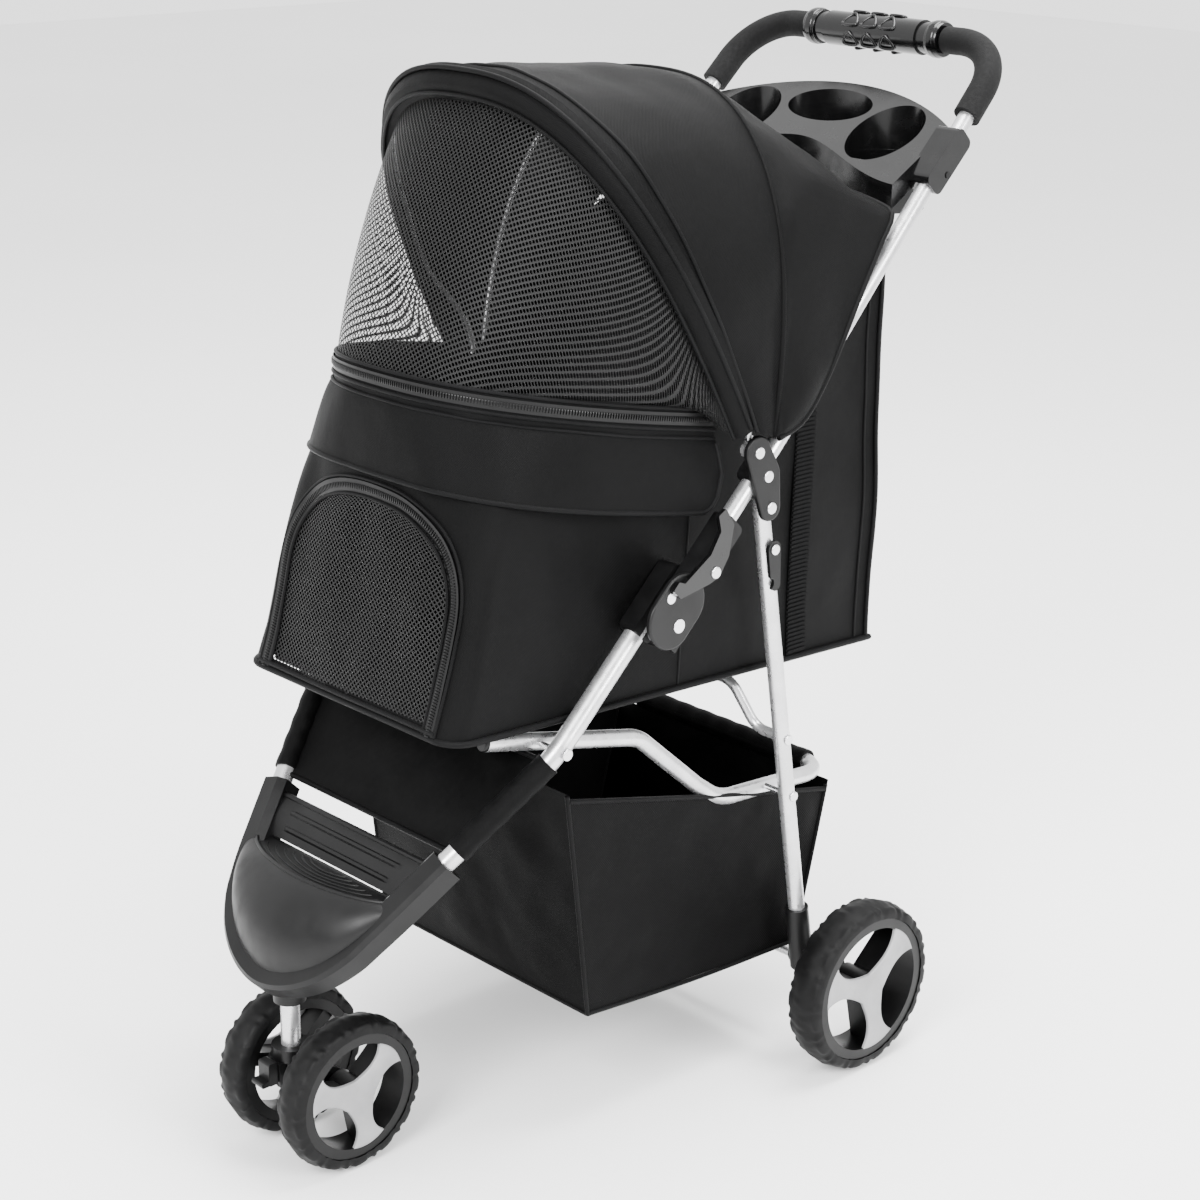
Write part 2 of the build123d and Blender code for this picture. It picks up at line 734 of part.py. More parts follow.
# fabric panel between the front tubes, with the sleeves that hold it
sling_low, sling_high = 313.0, 385.0
with BuildPart() as sling:
    with BuildSketch(tube_plane.offset(-1)):
        with BuildLine():
            low_x, high_x = on_front_tube(sling_low)[0] - 10.4, on_front_tube(sling_high)[0] - 10.4
            Polyline(
                (-low_x, along(sling_low)), (low_x, along(sling_low)),
                (high_x, along(sling_high)), (-high_x, along(sling_high)),
                (-low_x, along(sling_low)),
            )
        make_face()
    extrude(amount=2)
    for sleeve in both(
        rod([on_front_tube(sling_low), on_front_tube(sling_high)], 11.0, 0, 0, tube_plane)
    ):
        add(sleeve)
    for room in both(rod(front_tube_points, front_tube_r + 0.3, 120, 0, tube_plane)):
        add(room, mode=Mode.SUBTRACT)
save(sling.part, "sling_panel")

# ---------------------------------------------------------------- canopy
canopy_pivot = bracket_top
front_angle, mid_angle, rear_angle = 118.0, 80.0, 48.0


def hoop(angle, half, height, power, foot, eye_x):
    """Rod hoop with a flat eye on the canopy pivot at each end, made as two halves."""
    plane = fan_plane(canopy_pivot, angle)
    steps = 18
    arch = arch_points(half, height - foot, power, steps)[: steps // 2]
    crown = [(x, y + foot) for x, y in arch if y > 45]
    with BuildPart() as bow:
        with BuildLine(plane) as path:
            Spline((eye_x, 10), *crown, (0, height), tangents=[(0, 1), (-1, 0)])
        with BuildSketch(path.line ^ 0):
            Circle(hoop_rod_r)
        sweep()
        with BuildSketch(side_plane(eye_x - 2)):
            with Locations(canopy_pivot):
                Circle(7)
        extrude(amount=4)
        foot_point = plane.from_local_coords(Vector(eye_x, 4, 0))
        with BuildSketch(Plane(foot_point, x_dir=(1, 0, 0), z_dir=plane.y_dir)):
            Rectangle(4, 6)
        extrude(amount=9)
        add(pin(canopy_pivot, 3.0 + running, 100, 215), mode=Mode.SUBTRACT)
        mirror(about=Plane.YZ)
    return bow.part


front_half, front_height = 193.0, 362.0
mid_half, mid_height = 188.0, 312.5
front_eye_x, mid_eye_x = 188.6, 182.6
front_foot, mid_foot, rear_foot = 44.0, 40.0, 60.0
save(hoop(front_angle, front_half, front_height, 2.6, front_foot, front_eye_x), "front_hoop")
save(hoop(mid_angle, mid_half, mid_height, 2.5, mid_foot, mid_eye_x), "mid_hoop")

gap = hoop_rod_r + 4.0
front_arch = (front_half + gap + cloth, front_height + gap + cloth)
mid_arch = (mid_half + gap + cloth, mid_height + gap + cloth)
rear_arch = (178.0, 292.0)
front_cloth = band_loft(
    [
        (fan_plane(canopy_pivot, front_angle), front_arch[0], front_arch[1] - front_foot, 2.6, front_foot),
        (fan_plane(canopy_pivot, mid_angle + 0.6), mid_arch[0], mid_arch[1] - mid_foot, 2.5, mid_foot),
    ],
    cloth,
)
save(front_cloth, "canopy_front")
rear_cloth = band_loft(
    [
        (fan_plane(canopy_pivot, mid_angle - 0.6), mid_arch[0], mid_arch[1] - mid_foot, 2.5, mid_foot),
        (fan_plane(canopy_pivot, rear_angle), rear_arch[0], rear_arch[1] - rear_foot, 8, rear_foot),
    ],
    cloth,
)
save(rear_cloth, "canopy_rear")

window = band_loft(
    [
        (fan_plane(canopy_pivot, front_angle + 2.5), front_half - 14, front_height - 62, 2.6, 44),
        (rim_plane.offset(-2), rim_half, rim_depth, 2.6, 0),
    ],
    cloth,
)
save(window, "front_window")

# ---------------------------------------------------------------- caster
axle_z = front_wheel_r
with BuildPart() as caster:
    with BuildSketch(Plane.XY.offset(76)):
        with Locations((0, behind(stem_back))):
            Circle(15)
    extrude(amount=40)
    with BuildSketch(Plane.XY.offset(104)):
        with Locations((0, behind(stem_back))):
            Circle(18)
    extrude(amount=12)
    with BuildSketch(side_plane(-22)):
        with Locations((front_wheel_back, axle_z)):
            Circle(13)
        with Locations((stem_back, 90)):
            Circle(13)
        make_hull()
    extrude(amount=44)
    with BuildSketch(Plane.XY.offset(84)):
        with Locations((0, behind(stem_back - 16.5))):
            Rectangle(20, 8)
    extrude(amount=20)
    with BuildSketch(Plane.XY.offset(79.5)):
        with Locations((0, behind(stem_back))):
            Circle(9 + running)
    extrude(amount=60, mode=Mode.SUBTRACT)
    add(pin((front_wheel_back, axle_z), front_axle_r, -80, 80), mode=Mode.SUBTRACT)
save(caster.part, "caster_housing")

with BuildPart() as front_axle:
    with BuildSketch(side_plane(-56.6)):
        with Locations((front_wheel_back, axle_z)):
            Circle(front_axle_r)
    extrude(amount=113.2)
save(front_axle.part, "front_axle")

lock_point = (stem_back - 26, 96.0)
with BuildPart() as swivel_lock:
    with BuildSketch(side_plane(-8)):
        with Locations(lock_point):
            RectangleRounded(10, 22, 2)
        with Locations((lock_point[0] - 7, lock_point[1] - 8)):
            RectangleRounded(12, 5, 2)
    extrude(amount=16)
save(swivel_lock.part, "swivel_lock")


# ---------------------------------------------------------------- wheels
spoke_start = 42.0


def wheel_parts(centre, x, side, radius, width, axle_r):
    """Tyre, rim and trim cover of one wheel; side is +1 where the cover faces +X."""
    outer = x + side * width / 2
    rim_outer, rim_inner = radius - 13.5, radius - 23
    across = side_plane(x - width / 2)
    with BuildPart() as tyre:
        with BuildSketch(across):
            with Locations(centre):
                Circle(radius)
                Circle(rim_outer + 0.05, mode=Mode.SUBTRACT)
        extrude(amount=width)
        fillet(tyre.edges().filter_by(GeomType.CIRCLE).sort_by(SortBy.RADIUS)[-2:], 9)
    with BuildPart() as rim:
        with BuildSketch(across.offset(1)):
            with Locations(centre):
                Circle(rim_outer)
                Circle(rim_inner, mode=Mode.SUBTRACT)
        extrude(amount=width - 2)
        with BuildSketch(across.offset(1)):
            with Locations(centre):
                Circle(15)
        extrude(amount=width - 2)
        with BuildSketch(across.offset(7 if side > 0 else 5)):
            with Locations(centre):
                with PolarLocations((15 + rim_inner) / 2, 3, spoke_start):
                    Rectangle(rim_inner - 13, 13)
        extrude(amount=width - 12)
        add(pin(centre, axle_r + running, x - 60, x + 60), mode=Mode.SUBTRACT)
        with BuildSketch(side_plane(outer - side * 4)):
            with Locations(centre):
                Circle(rim_inner - 1)
        extrude(amount=side * 6, mode=Mode.SUBTRACT)
    with BuildPart() as cover:
        with BuildSketch(side_plane(outer - side * 3.8)):
            with Locations(centre):
                Circle(16)
                with PolarLocations((10 + rim_inner) / 2, 3, spoke_start):
                    Rectangle(rim_inner - 14, 16)
                with PolarLocations(rim_inner - 8, 3, spoke_start):
                    Rectangle(7, 34)
        extrude(amount=side * 2.8)
    return tyre.part, rim.part, cover.part


for name, centre, x, radius, width, axle_r in (
    ("rear", axle_point, rear_wheel_x, rear_wheel_r, rear_wheel_w, rear_axle_r),
    ("front", (front_wheel_back, axle_z), front_wheel_x, front_wheel_r, front_wheel_w, front_axle_r),
):
    for label, side in (("left", 1), ("right", -1)):
        pieces = wheel_parts(centre, side * x, side, radius, width, axle_r)
        for piece, part in zip(("tyre", "rim", "cover"), pieces):
            save(part, f"{name}_{label}_{piece}")
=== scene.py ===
import json
import math

import bpy
import bmesh
import numpy as np
from mathutils import Matrix, Vector, noise
from mathutils.bvhtree import BVHTree


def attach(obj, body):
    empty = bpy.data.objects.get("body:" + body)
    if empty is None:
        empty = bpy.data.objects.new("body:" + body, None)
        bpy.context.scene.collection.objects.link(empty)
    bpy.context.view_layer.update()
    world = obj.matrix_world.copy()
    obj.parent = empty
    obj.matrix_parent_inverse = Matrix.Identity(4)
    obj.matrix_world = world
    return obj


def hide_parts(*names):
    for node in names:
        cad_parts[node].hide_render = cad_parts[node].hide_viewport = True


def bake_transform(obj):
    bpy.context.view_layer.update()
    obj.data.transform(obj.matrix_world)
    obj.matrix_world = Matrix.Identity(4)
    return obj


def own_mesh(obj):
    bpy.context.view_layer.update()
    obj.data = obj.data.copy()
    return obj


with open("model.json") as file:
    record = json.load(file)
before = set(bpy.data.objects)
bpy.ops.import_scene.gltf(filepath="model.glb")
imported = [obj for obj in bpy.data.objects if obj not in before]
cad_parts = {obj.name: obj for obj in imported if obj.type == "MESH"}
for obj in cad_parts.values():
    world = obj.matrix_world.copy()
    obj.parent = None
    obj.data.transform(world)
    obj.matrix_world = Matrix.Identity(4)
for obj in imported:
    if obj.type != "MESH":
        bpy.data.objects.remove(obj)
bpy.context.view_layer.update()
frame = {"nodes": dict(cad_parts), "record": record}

# Shapes are drawn in millimetres as (x, behind the rear axle, height) and turned
# into the row frame, in metres, when a piece is made.
REAR = 161.3                     # rear axle behind the origin
TUBE_RISE = 746.6                # height of the sloping tubes above the rear axle line
PIVOT = (-137.0, 644.0)          # canopy pivot, (behind, height)
RIM_HINGE = (-165.0, 683.0)      # where the zipped rim starts on each side
RIM_TILT = math.radians(10.2)


def metres(points):
    """Millimetre points in the row frame, in metres."""
    return (np.asarray(points, float) + (0, REAR, 0)) / 1000


# ------------------------------------------------------------------ curves
def even(points, count):
    """The same line with evenly spaced points."""
    points = np.asarray(points, float)
    run = np.r_[0, np.cumsum(np.linalg.norm(np.diff(points, axis=0), axis=1))]
    at = np.linspace(0, run[-1], count)
    return np.stack([np.interp(at, run, points[:, k]) for k in range(points.shape[1])], 1)


def smooth_line(points, count, closed=False):
    """Catmull-Rom line through the points, evenly spaced."""
    p = np.asarray(points, float)
    if closed:
        p = np.vstack([p[-1], p, p[0], p[1]])
    else:
        p = np.vstack([2 * p[0] - p[1], p, 2 * p[-1] - p[-2]])
    out = []
    steps = np.linspace(0, 1, 24, endpoint=False)[:, None]
    for a, b, c, d in zip(p, p[1:], p[2:], p[3:]):
        out.append(0.5 * (2 * b + (c - a) * steps + (2 * a - 5 * b + 4 * c - d) * steps**2
                          + (3 * b - a - 3 * c + d) * steps**3))
    out.append(p[-2][None])
    return even(np.vstack(out), count)


def both_sides(left):
    """A left half line that ends on the middle, carried on over the right half."""
    left = np.asarray(left, float)
    return np.vstack([left, left[::-1][1:] * (-1, 1, 1)])


def arch(half, power, foot, top, count=91):
    """Superellipse arch from the left foot over the top to the right foot."""
    turn = np.linspace(0, math.pi, 1441)
    across, up = np.cos(turn), np.clip(np.sin(turn), 0, 1) ** (2 / power)
    x = half * np.sign(across) * np.abs(across) ** (2 / power)
    back = foot[0] + (top[0] - foot[0]) * up
    height = foot[1] + (top[1] - foot[1]) * up
    return even(np.stack([x, back, height], 1), count)


def fan(angle, radius, forward=0.0):
    """(behind, height) at this radius from the canopy pivot, off the hoop's plane by forward."""
    a = math.radians(angle)
    return (
        PIVOT[0] + radius * math.cos(a) - forward * math.sin(a),
        PIVOT[1] + radius * math.sin(a) + forward * math.cos(a),
    )


def rim(half, depth, power, drop, count=121):
    """Line round the front of the cabin, level with or below the zipped rim."""
    foot = (RIM_HINGE[0], RIM_HINGE[1] - drop)
    top = (foot[0] - depth * math.cos(RIM_TILT), foot[1] + depth * math.sin(RIM_TILT))
    return arch(half, power, foot, top, count)


def front_tube(height):
    """Centre of the left front tube's inward-leaning stretch at this height."""
    return np.array([92 + 71.5 * (height - 250) / 150, height - TUBE_RISE, height])


# ------------------------------------------------------------------ meshes
def normals_of(rows):
    """Unit normals of a grid of points."""
    across, along = np.gradient(rows, axis=1), np.gradient(rows, axis=0)
    n = np.cross(across, along)
    return n / np.maximum(np.linalg.norm(n, axis=2, keepdims=True), 1e-9)


def creased(rows, amount, size, seed, stretch=(1, 1, 1), pin=(1, 1)):
    """A cloth grid with soft creases that die out at the sewn edges."""
    rows = np.asarray(rows, float)
    n = normals_of(rows)
    count, width = rows.shape[:2]
    i, j = np.mgrid[0:count, 0:width]
    fade = np.ones((count, width))
    if pin[0]:
        fade *= np.clip(np.minimum(i, count - 1 - i) / (0.12 * count), 0, 1)
    if pin[1]:
        fade *= np.clip(np.minimum(j, width - 1 - j) / (0.06 * width), 0, 1)
    depth = np.array([
        noise.noise(Vector(p * stretch / size) + Vector((seed, seed * 1.7, 0)))
        + 0.45 * noise.noise(Vector(p * stretch / size * 2.3) + Vector((0, seed, seed)))
        for p in rows.reshape(-1, 3)
    ]).reshape(count, width)
    return rows + n * (depth * fade * amount)[:, :, None]


def between(first, last, count, sag=0.0, power=1.0):
    """Sheet from one line to another, bowed off the straight by sag."""
    share = np.linspace(0, 1, count)[:, None, None]
    rows = np.asarray(first)[None] * (1 - share**power) + np.asarray(last)[None] * share**power
    return rows + normals_of(rows) * (4 * share * (1 - share) * sag)


class Shape:
    """A mesh being put together."""

    def __init__(self):
        self.points, self.faces, self.uvs = [], [], []

    def grid(self, rows, closed=False, keep=None):
        rows = np.asarray(rows, float)
        count, width = rows.shape[:2]
        base = len(self.points)
        u = np.zeros((count, width))
        v = np.zeros((count, width))
        u[:, 1:] = np.cumsum(np.linalg.norm(np.diff(rows, axis=1), axis=2), axis=1)
        v[1:] = np.cumsum(np.linalg.norm(np.diff(rows, axis=0), axis=2), axis=0)
        u -= u[:, width // 2][:, None]
        v[:] = np.median(v, axis=1)[:, None] if closed else v
        self.points += rows.reshape(-1, 3).tolist()
        self.uvs += np.stack([u, v], 2).reshape(-1, 2).tolist()
        last = width if closed else width - 1
        for i in range(count - 1):
            for j in range(last):
                k = (j + 1) % width
                if keep is None or keep((rows[i, j] + rows[i + 1, k]) / 2):
                    self.faces.append((base + i * width + j, base + i * width + k,
                                       base + (i + 1) * width + k, base + (i + 1) * width + j))
        return base

    def cap(self, indices):
        self.faces.append(tuple(indices))

    def sweep(self, path, profile, up=None, closed=False, scale=None):
        """A closed profile of (side, up) carried along a line."""
        path = np.asarray(path, float)
        profile = np.asarray(profile, float)
        if closed:
            tangent = np.roll(path, -1, 0) - np.roll(path, 1, 0)
        else:
            tangent = np.gradient(path, axis=0)
        tangent /= np.maximum(np.linalg.norm(tangent, axis=1, keepdims=True), 1e-9)
        if up is None:
            hint = np.array([0.31, 0.29, 0.9]) if abs(tangent[0][2]) < 0.9 else np.array([1.0, 0, 0])
            ups = []
            for t in tangent:
                hint = hint - t * (hint @ t)
                hint = hint / np.linalg.norm(hint)
                ups.append(hint)
            ups = np.array(ups)
        else:
            ups = np.broadcast_to(np.asarray(up, float), path.shape)
        side = np.cross(tangent, ups)
        side /= np.maximum(np.linalg.norm(side, axis=1, keepdims=True), 1e-9)
        ups = np.cross(side, tangent)
        size = np.ones(len(path)) if scale is None else np.asarray(scale)
        rows = (path[:, None] + (profile[None, :, :1] * side[:, None]
                + profile[None, :, 1:] * ups[:, None]) * size[:, None, None])
        if closed:
            rows = np.concatenate([rows, rows[:1]])
        base = self.grid(rows, closed=True)
        if not closed:
            width = len(profile)
            self.cap(range(base + width - 1, base - 1, -1))
            self.cap(range(base + (len(path) - 1) * width, base + len(path) * width))
        return self

    def tube(self, path, radius, sides=10, closed=False, scale=None):
        turn = np.linspace(0, 2 * math.pi, sides, endpoint=False)
        ring = np.stack([np.cos(turn), np.sin(turn)], 1) * radius
        return self.sweep(path, ring, closed=closed, scale=scale)

    def strip(self, path, width, thick, up):
        """Flat tape or webbing laid along a line; up is the way its face looks."""
        w, t = width / 2, thick / 2
        ring = [(-w, -t), (-w, t), (-w * 0.5, t * 1.15), (w * 0.5, t * 1.15), (w, t), (w, -t)]
        return self.sweep(path, ring, up=up)

    def block(self, centre, half, turn=None):
        """Small box with a softened top, turned by three unit columns."""
        axes = np.eye(3) if turn is None else np.asarray(turn, float)
        base = len(self.points)
        for z, k in ((-1, 1), (0.5, 1), (1, 0.7)):
            for x, y in ((-1, -1), (1, -1), (1, 1), (-1, 1)):
                corner = np.array([x * k, y * k, z]) * half
                self.points.append((np.asarray(centre) + axes @ corner).tolist())
                self.uvs.append([0, 0])
        for ring in (0, 4):
            for k in range(4):
                m = (k + 1) % 4
                low = base + ring
                self.faces.append((low + k, low + m, low + 4 + m, low + 4 + k))
        self.cap([base + 3, base + 2, base + 1, base])
        self.cap([base + 8, base + 9, base + 10, base + 11])
        return self

    def zip(self, path, up, tape=5.0, tooth=1.5, pitch=2.6):
        """Tape with a row of teeth down its middle."""
        path = np.asarray(path, float)
        ups = np.broadcast_to(np.asarray(up, float), path.shape)
        self.strip(path, tape * 2, 0.8, ups)
        run = np.linalg.norm(np.diff(path, axis=0), axis=1).sum()
        count = int(run / pitch)
        spots = even(np.hstack([path, ups]), count)
        tangents = np.gradient(spots[:, :3], axis=0)
        for spot, along in zip(spots, tangents):
            up_here = spot[3:] / np.linalg.norm(spot[3:])
            along = along / np.linalg.norm(along)
            side = np.cross(along, up_here)
            self.block(spot[:3] + up_here * 0.9, (2.4, tooth / 2, 0.9), np.stack([side, along, up_here], 1))
        return self

    def piece(self, name, body, look, slot, replaces=(), thick=0.0, soft=False, angle=50):
        mesh = bpy.data.meshes.new(name)
        mesh.from_pydata(metres(self.points).tolist(), [], self.faces)
        layer = mesh.uv_layers.new(name="UVMap")
        index = np.zeros(len(mesh.loops), int)
        mesh.loops.foreach_get("vertex_index", index)
        layer.data.foreach_set("uv", (np.array(self.uvs)[index] / 1000).ravel())
        bm = bmesh.new()
        bm.from_mesh(mesh)
        bmesh.ops.delete(bm, geom=[v for v in bm.verts if not v.link_faces], context="VERTS")
        bmesh.ops.recalc_face_normals(bm, faces=bm.faces)
        bm.to_mesh(mesh)
        bm.free()
        obj = bpy.data.objects.new(name, mesh)
        bpy.context.scene.collection.objects.link(obj)
        mesh.materials.append(look)
        if thick:
            shell = obj.modifiers.new("thickness", "SOLIDIFY")
            shell.thickness = thick / 1000
            shell.offset = 0
            settle(obj)
        obj.data.shade_smooth()
        obj.data.set_sharp_from_angle(angle=math.radians(angle))
        if body:
            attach(obj, body)
        if replaces:
            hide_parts(*replaces)
        if soft:
            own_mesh(obj)
        return obj


def settle(obj):
    """Apply an object's modifiers."""
    shown = obj.evaluated_get(bpy.context.evaluated_depsgraph_get())
    mesh = bpy.data.meshes.new_from_object(shown)
    obj.modifiers.clear()
    obj.data = mesh


# ------------------------------------------------------------------ materials
class Look:
    """A procedural material, built from the output back."""

    def __init__(self, name, **sockets):
        self.material = bpy.data.materials.new(name)
        self.material.use_nodes = True
        self.tree = self.material.node_tree
        self.tree.nodes.clear()
        output = self.tree.nodes.new("ShaderNodeOutputMaterial")
        self.shader = self.tree.nodes.new("ShaderNodeBsdfPrincipled")
        self.tree.links.new(self.shader.outputs[0], output.inputs[0])
        for key, value in sockets.items():
            self.shader.inputs[key.replace("_", " ")].default_value = value

    def node(self, kind, inputs=(), **props):
        made = self.tree.nodes.new("ShaderNode" + kind)
        for key, value in props.items():
            setattr(made, key, value)
        for key, value in dict(inputs).items():
            if isinstance(value, bpy.types.NodeSocket):
                self.tree.links.new(value, made.inputs[key])
            else:
                made.inputs[key].default_value = value
        return made.outputs

    def math(self, operation, *values):
        return self.node("Math", enumerate(values), operation=operation)[0]

    def spread(self, value, low, high, to_low, to_high):
        return self.node("MapRange", {0: value, 1: low, 2: high, 3: to_low, 4: to_high})[0]

    def noise(self, scale, detail=4.0, stretch=None):
        where = self.node("TexCoord")[3]
        if stretch:
            where = self.node("Mapping", {0: where, 3: stretch})[0]
        return self.node("TexNoise", {"Vector": where, "Scale": scale, "Detail": detail})[0]

    def plane(self):
        """The sheet's own two directions, in metres."""
        split = self.node("SeparateXYZ", {0: self.node("TexCoord")[2]})
        return split[0], split[1]

    def colour(self, value, dark, light):
        ramp = self.tree.nodes.new("ShaderNodeValToRGB")
        ramp.color_ramp.elements[0].position, ramp.color_ramp.elements[1].position = 0.3, 0.7
        for element, shade in zip(ramp.color_ramp.elements, (dark, light)):
            element.color = (*shade, 1)
        self.tree.links.new(value, ramp.inputs[0])
        self.tree.links.new(ramp.outputs[0], self.shader.inputs["Base Color"])
        return ramp.outputs[0]

    def rough(self, value, low, high):
        self.tree.links.new(self.spread(value, 0.3, 0.7, low, high), self.shader.inputs["Roughness"])

    def bump(self, height, distance, strength=1.0, onto=None):
        inputs = {"Height": height, "Distance": distance, "Strength": strength}
        if onto is not None:
            inputs["Normal"] = onto
        out = self.node("Bump", inputs)[0]
        self.tree.links.new(out, self.shader.inputs["Normal"])
        return out


def grey(level, blue=1.04):
    return (level, level, level * blue)


def fabric_look(name, low, high, pitch, sheen, roughness, crease=0.004):
    """Coated woven cloth: crossing yarns, slow creases and a slightly uneven coat."""
    look = Look(name, Sheen_Weight=sheen, Sheen_Roughness=0.45, Specular_IOR_Level=0.05)
    patches = look.noise(9, 5)
    look.colour(patches, grey(low), grey(high))
    look.rough(patches, roughness - 0.05, roughness + 0.08)
    u, v = look.plane()
    turn = 2 * math.pi / pitch
    yarns = look.math("MULTIPLY", look.math("SINE", look.math("MULTIPLY", u, turn)),
                      look.math("SINE", look.math("MULTIPLY", v, turn)))
    soft = look.bump(look.noise(26, 3), crease, 0.35)
    look.bump(yarns, 0.00022, 0.55, soft)
    return look.material


def mesh_look(name, pitch, hole, level):
    """Knitted mesh: round holes on a diagonal lattice that show what lies behind."""
    look = Look(name, Roughness=0.55, Sheen_Weight=0.01, Specular_IOR_Level=0.2)
    u, v = look.plane()
    turn = math.pi / pitch
    a = look.math("COSINE", look.math("MULTIPLY", look.math("ADD", u, v), turn))
    b = look.math("COSINE", look.math("MULTIPLY", look.math("SUBTRACT", u, v), turn))
    field = look.math("ABSOLUTE", look.math("MULTIPLY", a, b))
    opened = look.spread(field, hole - 0.08, hole + 0.08, 1.0, 0.0)
    look.tree.links.new(opened, look.shader.inputs["Alpha"])
    look.colour(look.noise(14), grey(level * 0.7), grey(level * 1.4))
    look.bump(field, 0.0004, 0.7)
    return look.material


def moulded_look(name, low, high, roughness, grain, coat=0.0, shine=0.3):
    """Moulded plastic: fine grain, slow colour drift and scuffed patches."""
    look = Look(name, Coat_Weight=coat, Coat_Roughness=0.12, Specular_IOR_Level=shine)
    look.colour(look.noise(18, 6), grey(low), grey(high))
    look.rough(look.noise(55, 6), roughness - 0.06, roughness + 0.1)
    look.bump(look.noise(1400, 2), 0.0001, grain)
    return look.material


def metal_look(name, low, high, roughness, metallic, streak):
    look = Look(name, Metallic=metallic, Specular_IOR_Level=0.5)
    look.colour(look.noise(30, 5), grey(low, 1.015), grey(high, 1.015))
    look.rough(look.noise(160, 5), roughness - 0.05, roughness + 0.08)
    look.bump(look.noise(900, 3), 0.00008, streak)
    return look.material


def foam_look():
    """Closed-cell foam: a matt, slightly pitted skin."""
    look = Look("foam", Sheen_Weight=0.01, Sheen_Roughness=0.6, Specular_IOR_Level=0.15)
    look.colour(look.noise(40), grey(0.0012), grey(0.0030))
    look.rough(look.noise(300), 0.75, 0.9)
    cells = look.node("TexVoronoi", {"Vector": look.node("TexCoord")[3], "Scale": 900.0})[0]
    look.bump(cells, 0.0004, 0.6)
    return look.material


LOOKS = {
    "black_nylon": fabric_look("nylon", 0.0009, 0.0022, 0.0016, 0.003, 0.46),
    "floor_fabric": fabric_look("floor_cloth", 0.0012, 0.0026, 0.0018, 0.004, 0.62),
    "basket_fabric": fabric_look("basket_cloth", 0.0007, 0.0016, 0.0022, 0.002, 0.58),
    "black_mesh": mesh_look("mesh", 0.0052, 0.46, 0.0022),
    "tyre_rubber": moulded_look("tyre", 0.0014, 0.0040, 0.55, 0.6, shine=0.12),
    "wheel_black": moulded_look("wheel_black", 0.0012, 0.0032, 0.36, 0.4, shine=0.2),
    "wheel_silver": metal_look("wheel_silver", 0.20, 0.27, 0.42, 0.25, 0.4),
    "frame_tube": metal_look("tube", 0.50, 0.66, 0.28, 0.85, 0.5),
    "rivet_steel": metal_look("rivet", 0.60, 0.80, 0.20, 0.95, 0.3),
    "grip_foam": foam_look(),
    "gloss_black": moulded_look("gloss_black", 0.0012, 0.0028, 0.20, 0.3, coat=0.15),
    "moulded_black": moulded_look("moulded_black", 0.0014, 0.0038, 0.38, 0.5, shine=0.2),
}
PIPING = fabric_look("piping", 0.0016, 0.0042, 0.0020, 0.010, 0.42, 0.001)
WEBBING = fabric_look("webbing", 0.0012, 0.0030, 0.0030, 0.008, 0.62, 0.001)
ZIP = moulded_look("zip", 0.0012, 0.0036, 0.34, 0.3, shine=0.2)

for part in frame["record"]["subparts"]:
    node = frame["nodes"][part["node"]]
    look = LOOKS[part["material_slot"]]
    if not node.material_slots:
        node.data.materials.append(look)
    for place in node.material_slots:
        place.material = look

# ------------------------------------------------------------------ canopy
HOOP_FOOT, MID_FOOT = (-150.0, 668.0), (-121.0, 655.0)
hoop_line = arch(200.0, 2.6, HOOP_FOOT, fan(118, 369.0))
mid_line = arch(199.0, 2.5, MID_FOOT, fan(80, 318.0))
wing = [(203, -118, 655), (202, -85, 666), (198, -50, 701), (193, -10, 760), (188, 25, 810),
        (182, 46, 832), (165, 52, 839), (110, 57, 847), (0, 62, 858)]
rear_line = even(both_sides(smooth_line(wing, 60)), 91)

front_panel = creased(between(hoop_line, mid_line, 40, sag=-5), 4.5, 95, 3.1, (1, 1, 0.6))
rear_panel = creased(between(mid_line, rear_line, 34, sag=-4), 5.0, 70, 7.7, (1, 0.8, 0.8))

canopy_front = Shape()
canopy_front.grid(front_panel)
canopy_front = canopy_front.piece("canopy_front_cloth", None, LOOKS["black_nylon"], "black_nylon",
                                  ["canopy_front"], thick=1.0)
canopy_rear = Shape()
canopy_rear.grid(rear_panel)
canopy_rear = canopy_rear.piece("canopy_rear_cloth", None, LOOKS["black_nylon"], "black_nylon",
                                ["canopy_rear"], thick=1.0)


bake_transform(canopy_front)
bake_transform(canopy_rear)

# hood brim: rolls from the hoop to the zipped edge of the window
brim_rows = []
for forward, radius, half in (
    (12, 349, 187), (15, 356, 192), (13, 364, 197), (7, 369, 200.5), (0, 371, 201.5), (-8, 371.5, 201.8),
):
    foot = fan(118, 27, forward)
    brim_rows.append(arch(half, 2.6, foot, fan(118, radius, forward)))
brim = Shape()
brim.grid(creased(brim_rows, 1.0, 40, 5.5))
brim = brim.piece("canopy_brim", "canopy_front", LOOKS["black_nylon"], "black_nylon", thick=1.2)
window_top = brim_rows[0]
brim_trim = Shape()
brim_trim.tube(brim_rows[1] + (0, -1.5, 0), 1.9)
brim_trim.tube(brim_rows[4] + (0, -3.0, 1.5), 2.3)
brim_trim.piece("canopy_brim_piping", "canopy_front", PIPING, "black_nylon")
seam_trim = Shape()
seam_trim.tube(front_panel[5] + normals_of(front_panel)[5] * -0.8, 2.0)
seam_trim = seam_trim.piece("canopy_front_seam", None, PIPING, "black_nylon")
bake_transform(seam_trim)
mid_trim = Shape()
mid_trim.tube(mid_line, 2.9)
mid_trim.piece("canopy_mid_seam", "canopy_mid", LOOKS["black_nylon"], "black_nylon")
wing_trim = Shape()
wing_trim.tube(rear_line, 2.7)
wing_trim = wing_trim.piece("canopy_wing_piping", None, PIPING, "black_nylon")
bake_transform(wing_trim)

